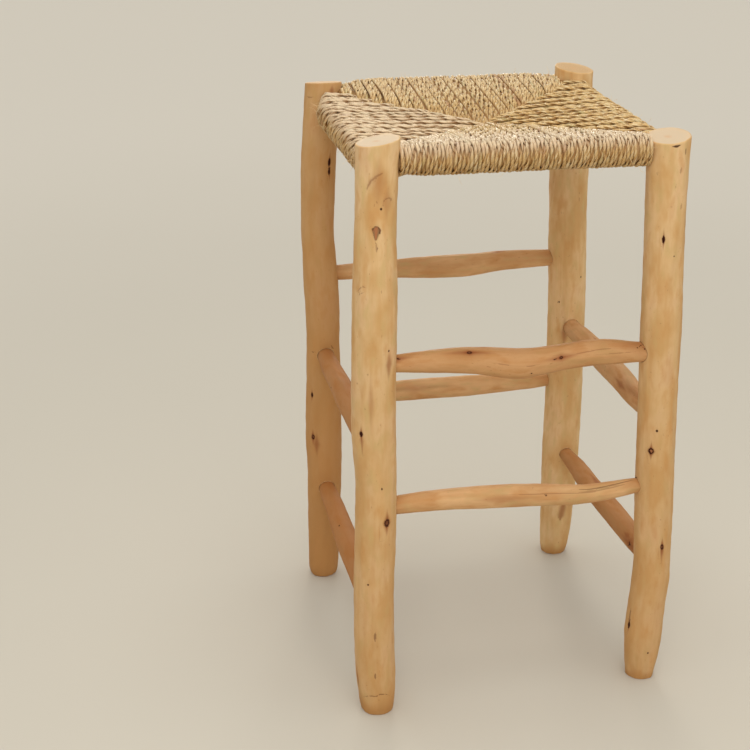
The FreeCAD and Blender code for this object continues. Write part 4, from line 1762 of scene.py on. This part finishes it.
LEGS = (
    Leg(
        "pole_front_left",
        bowed(
            (-170, -13, 1.5),
            (0, -169.5, 38), (10, -169.8, 41.6), (30, -170.4, 45), (50, -171.7, 47.4),
            (100, -173.4, 48), (160, -173.3, 48), (255, -170.7, 49), (300, -170, 47.7),
            (360, -173, 50.7), (430, -173.4, 51), (515, -171.5, 51.5), (590, -171.4, 47.5),
            (640, -170, 46.5), (705, -168, 49),
        ),
        marks=(
            spot(TEAR, 606.3, -100, 9.4, 19, 1.2),
            line(
                CRACK, 1.5, 0.4, (605, -110.5), (610, -110.8), (614, -106), (615.3, -100), (614, -94),
                (610, -89.6), (606, -89.8),
            ),
            line(TRACE, 1.8, 0.2, (597, -99.3), (592, -98.2), (584, -96.8)),
            spot(DOT, 589.3, -96.4, 1.6, 2.4, 0.3),
            spot(DOT, 634.6, -88.2, 2.6, 3.2, 0.4),
            line(
                TRACE, 2.2, 0, (652, -132), (659.9, -125.7), (665.8, -117.5), (671, -104.6),
                (673.8, -91.7), (675.1, -80.8),
            ),
            spot(STAIN, 664, -98, 16, 22, 0.1),
            line(STAIN, 4.4, 0, (656, -129), (665.8, -117.5), (671, -104.6), (674, -90)),
            spot(STAIN, 642, -72, 12, 14, 0.1),
            line(TRACE, 1.6, 0, (638, -82), (644.4, -80.4), (646.6, -68.5), (644.2, -57.7), (638, -60)),
            spot(BRUISE, 452.7, -59.2, 7, 13, 0.4),
            spot(DOT, 469.6, -60.7, 2, 2.4, 0.3),
            spot(HOLE, 369.5, -136.4, 5, 7.4, 0.9),
            spot(BRUISE, 361, -135, 3.4, 12, 0.1),
            spot(STAIN, 409, -108, 6, 26, 0.1),
            spot(BRUISE, 46, -169, 5, 16, 0.3),
            spot(DOT, 301.8, -85.6, 1.8, 3, 0.2),
            spot(KNOT, 257.7, -69.7, 7.6, 11, 0.6),
            line(TRACE, 1.6, 0, (536, -157), (541, -148), (546, -134), (544, -122)),
            line(TRACE, 1.4, 0, (531, -150), (537, -142), (539, -130)),
            spot(DOT, 178.7, -119.6, 2.2, 2.4, 0.3),
            spot(KNOT, 498, 158, 5.4, 8.6, 0.6),
            spot(HOLE, 212, 96, 3.8, 7, 0.7),
            line(CHECK, 2.8, 0.3, (117, -98), (110, -98.7), (104, -98)),
            line(CHECK, 2, 0.3, (62, -101), (57, -102.4), (52, -101)),
            line(
                CHECK, 1.4, 0.7, (18, -165), (22.9, -149.7), (27, -130), (28.5, -116), (27.5, -104),
                (30.9, -91), (30, -78), (27.6, -63), (17.5, -34),
            ),
        ),
        seed=11, top_tilt=(9, -1), wear_reach=34, tone=(0.5, 0.05), corner=Corner.FRONT_LEFT,
    ),
    Leg(
        "pole_front_right",
        bowed(
            (-170, -2, -2),
            (0, 172.9, 35.5), (20, 173, 40.5), (40, 173.7, 44), (60, 173.8, 46.5), (100, 176, 45),
            (139, 179.5, 46), (158, 179, 44.5), (235, 176.7, 46.4), (300, 174.4, 45.8), (400, 172, 46),
            (470, 171, 48), (570, 168.5, 46), (650, 167, 47.5), (694, 166.7, 49),
        ),
        marks=(
            spot(EYE, 316.5, -124, 7, 8.6, 0.8),
            spot(DOT, 343.2, -109, 3.2, 3.4, 0.6),
            spot(HOLE, 579, -113.3, 3.6, 10, 1.2),
            line(CRACK, 1.6, 0.3, (558.4, -86), (559.2, -82), (558.9, -77)),
            spot(KNOT, 188.1, -79.1, 4.6, 8.4, 0.6),
            spot(BRUISE, 182, -79.1, 4, 12, 0.2),
            spot(HOLE, 74, -166, 4.4, 10, 0.9),
            line(CHECK, 2.2, 0.6, (98, -168), (88, -167), (78, -166)),
            line(CHECK, 2.4, 0.5, (686, -58.8), (682, -58.6), (676, -58.5)),
            line(CRACK, 3, 0.9, (691.5, -99), (690.6, -93), (690.2, -86), (691.4, -76)),
            line(TRACE, 2, 0.2, (664, -71.5), (660, -71.6), (655, -71.7)),
            line(TRACE, 2, 0.2, (621, -64), (617, -64.1), (612, -64)),
            spot(DOT, 40.4, -89.2, 2.2, 2.4, 0.2),
            spot(KNOT, 452, 14, 5.6, 9, 0.6),
            spot(DOT, 268, 52, 2.6, 4.2, 0.4),
            # A long soft stain down the right side: painted shade that darkens this side.
            spot(STAIN, 470, -16, 15, 170, 0),
        ),
        seed=12, top_tilt=(6, 8), tone=(0.55, 0.1), end_age=0.1, corner=Corner.FRONT_RIGHT,
    ),
    Leg(
        "pole_back_right",
        bowed(
            (170, 7, -2),
            (0, 168.5, 34), (5, 168.6, 37.7), (27, 169.8, 42), (50, 170.3, 44.6), (160, 172, 51),
            (246, 172.4, 50.3), (350, 171, 51), (411, 169.6, 50.4), (471, 167.5, 51),
            (510, 166.3, 49.6), (550, 165, 50.6), (703, 166, 49.6),
        ),
        marks=(
            spot(DOT, 422.8, -59.5, 2, 2.6, 0.3),
            spot(DOT, 388.1, -131.4, 2, 2.6, 0.3),
            line(BRUISE, 8, 0, (58, -92), (66, -90), (76, -86), (86, -82)),
            spot(BRUISE, 345, -112, 8, 16, 0.2),
            spot(KNOT, 520, 60, 5, 10, 0.6),
            spot(EYE, 240, 130, 6, 8, 0.7),
        ),
        seed=13, top_tilt=(-7, 5), wear_reach=16, tone=(0.1, 0), end_age=0.85, corner=Corner.BACK_RIGHT,
    ),
    Leg(
        "pole_back_left",
        bowed(
            (170, 8, 2),
            (0, -169.4, 35), (8, -169.3, 41), (117, -167.2, 45.8), (160, -166.3, 47),
            (203, -167.4, 49.3), (300, -167, 46.5), (346, -167.2, 44), (386, -167.6, 45),
            (426, -169.4, 46.2), (465, -171.8, 43.8), (503, -174.2, 43), (541, -173.2, 44),
            (597, -172, 45), (698, -165, 46),
        ),
        marks=(
            spot(HOLE, 598.5, -62, 4.6, 12, 1.4),
            spot(HOLE, 586, -61, 4.2, 9, 1.2),
            spot(HOLE, 276.2, -142.1, 4, 8, 0.9),
            spot(KNOT, 215.3, -137.2, 5, 8, 0.6),
            spot(BRUISE, 206, -124, 8, 12, 0.2),
            spot(BRUISE, 688.5, -72, 6, 5, 0),
            line(TRACE, 1.6, 0, (682.5, -165), (681, -150), (681.2, -136), (683, -122)),
            line(CHECK, 1.3, 0.2, (340, -152), (338, -136), (340, -122)),
            line(CHECK, 1.3, 0.2, (350, -74), (344, -66), (341, -58)),
            spot(KNOT, 430, 100, 5, 9, 0.6),
        ),
        seed=14, top_tilt=(0, -9), tone=(1, 0.55), end_age=0.8, corner=Corner.BACK_LEFT,
    ),
)

RUNGS = (
    Rung(
        Side.FRONT, Level.UPPER, 441, -7, seed=21, play=0.9, tone=0.35,
        stations=(
            (0.079, 1.3, 20.6), (0.132, 1.4, 23.2), (0.195, 1.3, 26), (0.258, 1.2, 28.6),
            (0.302, 0.7, 30.1), (0.353, -1, 31.4), (0.417, -4.4, 33.9), (0.468, -6.7, 35.6),
            (0.513, -7.5, 35.4), (0.577, -5.8, 33), (0.609, -4.6, 31.7), (0.673, -1.3, 30.9),
            (0.738, 1, 30.8), (0.79, 1.6, 30.6), (0.836, 1.3, 29.2), (0.882, 0, 26.8),
            (0.928, -1.6, 23.9),
        ),
        marks=(
            spot(KNOT, 110.2, 123.5, 4.4, 6.6, 0.7),
            spot(BRUISE, 111, 123.5, 8, 22, 0.1),
            spot(KNOT, 218.7, 158.1, 4, 4.6, 0.6),
            spot(BRUISE, 219, 158.1, 8, 16, 0.1),
            spot(DOT, 210.4, 160.5, 1.6, 2.2, 0.2),
            spot(BRUISE, 27, 128, 7, 12, 0.3),
            line(CRACK, 2.2, 0.4, (24, 122), (27, 128), (30, 133)),
            spot(DOT, 183.2, -155.3, 2, 2.2, 0.2),
            line(TRACE, 1.2, 0.1, (224, 157), (245, 153), (270, 147), (296, 142)),
            line(TRACE, 1, 0.1, (118, 160), (150, 168), (182, 172), (207, 166)),
            line(TRACE, 0.9, 0.1, (250, 172), (285, 168), (312, 160)),
            spot(STAIN, 315, 130, 16, 24, 0.1),
            line(CRACK, 2.4, 0.4, (327, 168), (331, 150), (332, 132), (331, 116)),
            spot(DOT, 318, 122, 1.6, 2, 0.1),
            spot(DOT, 322, 143, 1.8, 2, 0.1),
            spot(DOT, 325, 108, 1.6, 2.2, 0.1),
            spot(DOT, 313, 137, 1.4, 1.8, 0.1),
        ),
    ),
    Rung(
        Side.FRONT, Level.LOWER, 264, -4, seed=22, play=0.7,
        stations=(
            (0.073, 2.8, 22), (0.16, 3.9, 23.8), (0.256, 4.2, 25.3), (0.354, 3.9, 27.3),
            (0.472, 2, 28.2), (0.584, -0.5, 27), (0.684, -3.4, 25.3), (0.752, -4.8, 23.1),
            (0.818, -3.1, 22.2), (0.885, 0.3, 20.2), (0.932, 2.1, 18.1),
        ),
        marks=(
            line(CHECK, 1.5, 0.7, (238, 126), (262, 128), (285, 122), (304, 112), (322, 104)),
            line(TRACE, 1.4, 0.2, (240, 142), (266, 144), (290, 138), (312, 128)),
            line(TRACE, 1.2, 0.3, (150, 150), (190, 152), (230, 148), (268, 150)),
            spot(DOT, 205, 160, 1.8, 2.2, 0.2),
            spot(STAIN, 150, 170, 9, 30, 0.1),
        ),
    ),
    Rung(
        Side.RIGHT, Level.UPPER, 351, 2.5, seed=23, tone=0.2,
        stations=(
            (0.075, 0, 22.5), (0.2, 0.8, 27), (0.35, 1.6, 29.5), (0.5, 2, 31), (0.65, 1.6, 30),
            (0.8, 0.9, 27.5), (0.925, 0, 23),
        ),
        marks=(
            spot(DOT, 190, 40, 3, 4, 0.3),
            spot(BRUISE, 92, 30, 7, 16, 0.1),
            spot(STAIN, 70, 55, 9, 40, 0.1),
            spot(BRUISE, 226, 96, 5, 9, 0.1),
        ),
    ),
    Rung(
        Side.RIGHT, Level.LOWER, 162, 2.5, seed=24, tone=0.6,
        stations=(
            (0.075, -1.5, 24.5), (0.2, -2, 27.5), (0.35, -2.4, 28.5), (0.5, -2.4, 28.5),
            (0.65, -2, 27.5), (0.8, -1.4, 24), (0.925, -0.8, 18.5),
        ),
        marks=(
            line(CRACK, 2.5, 0.8, (49, 30), (45, 14), (42, 9), (45, 2), (49, -14)),
            spot(BRUISE, 44, 9, 15, 17, 0.3),
            spot(BRUISE, 56, 34, 6, 9, 0.1),
            spot(BRUISE, 203, 100, 7, 18, 0.2),
        ),
    ),
    Rung(
        Side.BACK, Level.UPPER, 444, -3, seed=25,
        stations=(
            (0.079, 0.8, 21.5), (0.147, 1.2, 23.4), (0.223, 1.3, 25.1), (0.298, 1.1, 26.7),
            (0.373, -0.9, 28.8), (0.448, -1.8, 30.5), (0.559, -1.3, 29.3), (0.633, -0.7, 27.1),
            (0.7, -0.3, 24.5), (0.8, 0, 22.5), (0.925, 0.3, 20.5),
        ),
        marks=(
            spot(BRUISE, 97.9, 85.8, 5, 10, 0.4),
            spot(BRUISE, 96, -150, 5, 12, 0.4),
            spot(BRUISE, 128, -150, 4, 8, 0.3),
        ),
    ),
    Rung(
        Side.BACK, Level.LOWER, 268.5, -1.5, seed=26,
        stations=(
            (0.075, -1.6, 16.7), (0.137, -2.1, 19.8), (0.215, -2.2, 22.3), (0.292, -1.6, 25),
            (0.407, -1.4, 28.5), (0.484, -1.1, 28.2), (0.56, -1.2, 28.1), (0.636, -1.2, 28),
            (0.704, -1, 27), (0.8, -0.6, 25), (0.925, -0.2, 21.5),
        ),
        marks=(
            spot(STAIN, 215, 30, 8, 40, 0.1),
            spot(BRUISE, 290, 40, 4, 16, 0.2),
        ),
    ),
    Rung(
        Side.LEFT, Level.UPPER, 332, -3, seed=27, tone=0.7,
        stations=(
            (0.075, 0, 22.5), (0.2, 0.6, 26), (0.35, 1.2, 28), (0.5, 1.5, 28.5), (0.65, 1.2, 28.3),
            (0.8, 0.7, 26.5), (0.925, 0, 22.5),
        ),
        marks=(spot(DOT, 137.3, 173.6, 2.4, 3, 0.3),),
    ),
    Rung(
        Side.LEFT, Level.LOWER, 135, -8, seed=28, tone=0.8,
        stations=(
            (0.075, 0, 22.5), (0.2, 0.2, 25), (0.35, 0, 27.5), (0.5, -0.3, 29.5), (0.65, -0.4, 29.5),
            (0.8, 0, 27), (0.925, 0, 23),
        ),
        marks=(spot(DOT, 154.9, 120, 2.4, 3, 0.3),),
    ),
)


@dataclass
class StoolFrame:
    """Four legs and eight rungs, bored and seated in each other, and the finish of the seat rails.

    Attributes:
        half_width, half_depth: distances of the seat rails' axes from the middle, in millimetres.
        rail_height, side_drop: height of the front and back rails, and how much lower the side ones lie.
        rail_bore, bore_setback: girth of their mortises, and distance of these from a leg's axis.
    """

    half_width: float = 167.0
    half_depth: float = 170.0
    rail_height: float = 680.0
    side_drop: float = 11.0
    rail_bore: float = 17.4
    bore_setback: float = 10.7

    def build(self) -> None:
        """Models and dresses every pole of the stool."""
        finishes = (LEG_WOOD, RUNG_WOOD, SawnLaurel(), BoredLaurel())
        woods = Woods(*(finish.material() for finish in finishes))
        legs = {leg.corner: leg for leg in LEGS}
        for corner, leg in legs.items():
            bores = [rung.bores(legs)[corner] for rung in RUNGS if corner in rung.side.corners]
            leg.build(woods, self.rail_bores(corner) + bores)
        for rung in RUNGS:
            rung.build(legs, woods)
        for side in Side:
            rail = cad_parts[f"seat_rail_{side.label}"]
            rail.data.materials.clear()
            rail.data.materials.append(RailLaurel(side).material())
            log.info("%s: wood finish on its solid", rail.name)

    def rail_bores(self, corner: Corner) -> list[Bore]:
        """Places the mortises of the two seat rails in a leg.

        Args:
            corner: the leg's corner.

        Returns:
            The mortises.
        """
        sign_x, sign_y = corner.value
        start = np.array([sign_x * self.half_width, sign_y * self.half_depth, self.rail_height]) * MM
        low_start = start - np.array([0, 0, self.side_drop * MM])
        along = np.array([-sign_x, 0.0, 0.0])
        back = np.array([0.0, -sign_y, 0.0])
        return [
            Bore(start + along * self.bore_setback * MM, along, self.rail_bore),
            Bore(low_start + back * self.bore_setback * MM, back, self.rail_bore),
        ]


SEEN_FIBRES = (
    ((138, 186, 692), (-0.2, 0.2, 1), 14),
    ((136, 187, 691), (0.5, 0.1, 1), 11),
    ((185, 95, 672), (0.5, 0.3, 1), 13),
    ((-80, -183, 664), (-0.15, -0.1, -1), 13),
    ((128, -184, 664), (0.05, -0.1, -1), 15),
    ((-30, -184, 665), (0.1, -0.1, -1), 8),
    ((60, -184, 665), (-0.1, -0.1, -1), 7),
    ((-184, -120, 665), (-1, 0, -0.6), 10),
    ((-184, -132, 662), (-0.8, -0.2, -1), 9),
    ((-184, -108, 669), (-1, 0, -0.3), 8),
    ((-184, 130, 679), (-1, 0, 0.3), 9),
    ((-184, 110, 675), (-1, 0.1, 0), 8),
    ((-60, 186, 696), (0.2, 0.1, 1), 7),
    ((20, 186, 696), (-0.3, 0.1, 1), 6),
    ((90, 187, 696), (0.3, 0, 1), 7),
    ((183, 60, 683), (1, 0.1, 0.5), 8),
    ((183, 10, 683), (1, 0, 0.4), 7),
    ((183, -60, 683), (1, -0.1, 0.5), 8),
)


@dataclass
class CordedSeat:
    """Envelope-wound seat: four corded panels that meet on the diagonals.

    Attributes:
        half_width, half_depth: distances of the rails' axes from the middle, in millimetres.
        courses: turns of cord on each rail.
    """

    half_width: float = 167
    half_depth: float = 170
    courses: int = 63

    def build(self) -> None:
        """Winds the four panels, each as its own rail and hand have left it, and grows stray fibres."""
        front_size = (self.half_width, self.half_depth, self.courses)
        side_size = (self.half_depth, self.half_width, self.courses)
        panels = (
            CordedPanel(
                Side.FRONT, *front_size, seed=61, heights=(682.2, 678.8), proud=0.5,
                tapers=((0.13, 0.0), (0.0, 0.05)), rooms=(23.6, 25.8), ply=Ply(0.86, 2.6, 4.3),
                parting=(1.25, 1.6), pallor=0.6, bed=Bed(1.5, 0.0, 0.8),
            ),
            CordedPanel(
                Side.RIGHT, *side_size, seed=62, heights=(669, 669), proud=3.2,
                tapers=((0.05, 0.05), (-0.2, 0.05)), rooms=(26.2, 26.2), ply=Ply(1.16, 2.4, 3.1),
                parting=(1.3, 1.8), pallor=0.0, bed=Bed(1.5, 1.5, 0.55),
            ),
            CordedPanel(
                Side.BACK, *front_size, seed=63, heights=(679.4, 682.6), proud=0.4,
                tapers=((0.2, 0.2), (0.4, 0.2)), rooms=(26.2, 23.2), ply=Ply(1.06, 2.75, 4.3),
                parting=(1.5, 2.0), pallor=0.22, bed=Bed(0.8, 0.3, 1.0),
            ),
            CordedPanel(
                Side.LEFT, *side_size, seed=64, heights=(669, 669), proud=2.7,
                tapers=((-0.2, 0.6), (0.05, 0.05)), rooms=(26.2, 26.2), ply=Ply(1.12, 2.35, 3.1),
                parting=(1.25, 1.65), pallor=0.55, bed=Bed(1.2, 1.5, 0.55),
            ),
        )
        cord = PalmCord().material()
        lines = []
        for panel in panels:
            lines.extend(panel.build(cord))
        StrayFibres(SEEN_FIBRES).build(lines, cord)


@dataclass
class Studio:
    """Pale floor, soft lamps and the camera at the photograph's place.

    Attributes:
        eye: place of the camera in metres.
        azimuth, elevation, roll: direction from the stool to the camera, and its roll, in radians.
        lens, sensor: focal length and width of the sensor in millimetres.
        floor_radius: radius of the floor in metres.
        lamp_light, surround_light, backdrop: colours of the light, and of what is seen round the stool.
        levels: strength of the surround in front and overhead, and at the two sides.
    """

    eye: Point = (-0.5596, -1.9776, 1.1597)
    azimuth: float = -0.211988
    elevation: float = 0.374987
    roll: float = 0.002643
    lens: float = 83.616
    sensor: float = 36
    floor_radius: float = 40
    lamp_light: str = "FFF8EE"
    surround_light: str = "FFFDF8"
    backdrop: str = "D0C9BC"
    levels: Spot = (0.92, 0.5)

    def build(self) -> None:
        """Sets the stage."""
        self.floor()
        self.lamps()
        self.world()
        self.camera()
        bpy.context.scene.view_settings.view_transform = "Standard"

    def floor(self) -> None:
        """Lays a wide floor."""
        bpy.ops.mesh.primitive_circle_add(vertices=128, radius=self.floor_radius, fill_type="NGON")
        floor = bpy.context.active_object
        floor.name = "studio_floor"
        floor.data.materials.append(StudioFloor().material())

    def lamps(self) -> None:
        """Hangs a soft key in front, a broad lamp overhead and a low one behind."""
        wide = {"angle": math.radians(50), "energy": 0.72}
        low = {"size": 0.8, "energy": 2.4, "spread": math.radians(60)}
        for name, kind, place, aim, settings in (
            ("key", "AREA", (-0.25, -1.75, 1.75), (0, 0, 0.45), {"size": 1.3, "energy": 12.5}),
            ("overhead", "SUN", (0.1, 0.15, 3), (0, 0, 0), wide),
            ("rear", "AREA", (0.45, 2.4, 1.05), (0, 0, 0.69), low),
        ):
            lamp = bpy.data.lights.new(name, kind)
            lamp.color = linear(self.lamp_light)[:3]
            for setting, value in settings.items():
                setattr(lamp, setting, value)
            hung = add_object(name, lamp)
            hung.location = place
            hung.rotation_euler = (Vector(aim) - Vector(place)).to_track_quat("-Z", "Y").to_euler()
            hung.visible_camera = False

    def world(self) -> None:
        """Surrounds the stool with light, and with a backdrop for the camera and for reflections."""
        world = bpy.data.worlds.new("surround")
        world.use_nodes = True
        tree = world.node_tree
        tree.nodes.clear()
        path = add_node(tree, "LightPath", {}, "Is Camera Ray")
        for kind in ("Is Glossy Ray", "Is Transmission Ray"):
            ray = add_node(tree, "LightPath", {}, kind)
            path = add_node(tree, "Math", {0: path, 1: ray}, operation="MAXIMUM")
        seen = add_node(tree, "Background", {"Color": linear(self.backdrop), "Strength": 1.0})
        heading = add_node(tree, "TexCoord", {}, "Generated")
        sideways = add_node(tree, "SeparateXYZ", {0: heading}, "X")
        sideways = add_node(tree, "Math", {0: sideways}, operation="ABSOLUTE")
        level = add_node(tree, "MapRange", {0: sideways, 3: self.levels[0], 4: self.levels[1]})
        light = add_node(tree, "Background", {"Color": linear(self.surround_light), "Strength": level})
        both = add_node(tree, "MixShader", {0: path, 1: light, 2: seen})
        add_node(tree, "OutputWorld", {"Surface": both})
        bpy.context.scene.world = world

    def camera(self) -> None:
        """Places the camera."""
        view = bpy.data.cameras.new("camera")
        view.sensor_width = self.sensor
        view.lens = self.lens
        view.clip_end = 200
        stand = add_object("camera", view)
        turn = Matrix.Rotation(self.azimuth, 4, "Z")
        tip = Matrix.Rotation(math.pi / 2 - self.elevation, 4, "X")
        roll = Matrix.Rotation(self.roll, 4, "Z")
        stand.matrix_world = Matrix.Translation(self.eye) @ turn @ tip @ roll
        bpy.context.scene.camera = stand


def main() -> None:
    """Builds the stool and its stage in order."""
    logging.basicConfig(level=logging.INFO, format="%(message)s")
    StoolFrame().build()
    CordedSeat().build()
    Studio().build()


if __name__ == "__main__":
    main()
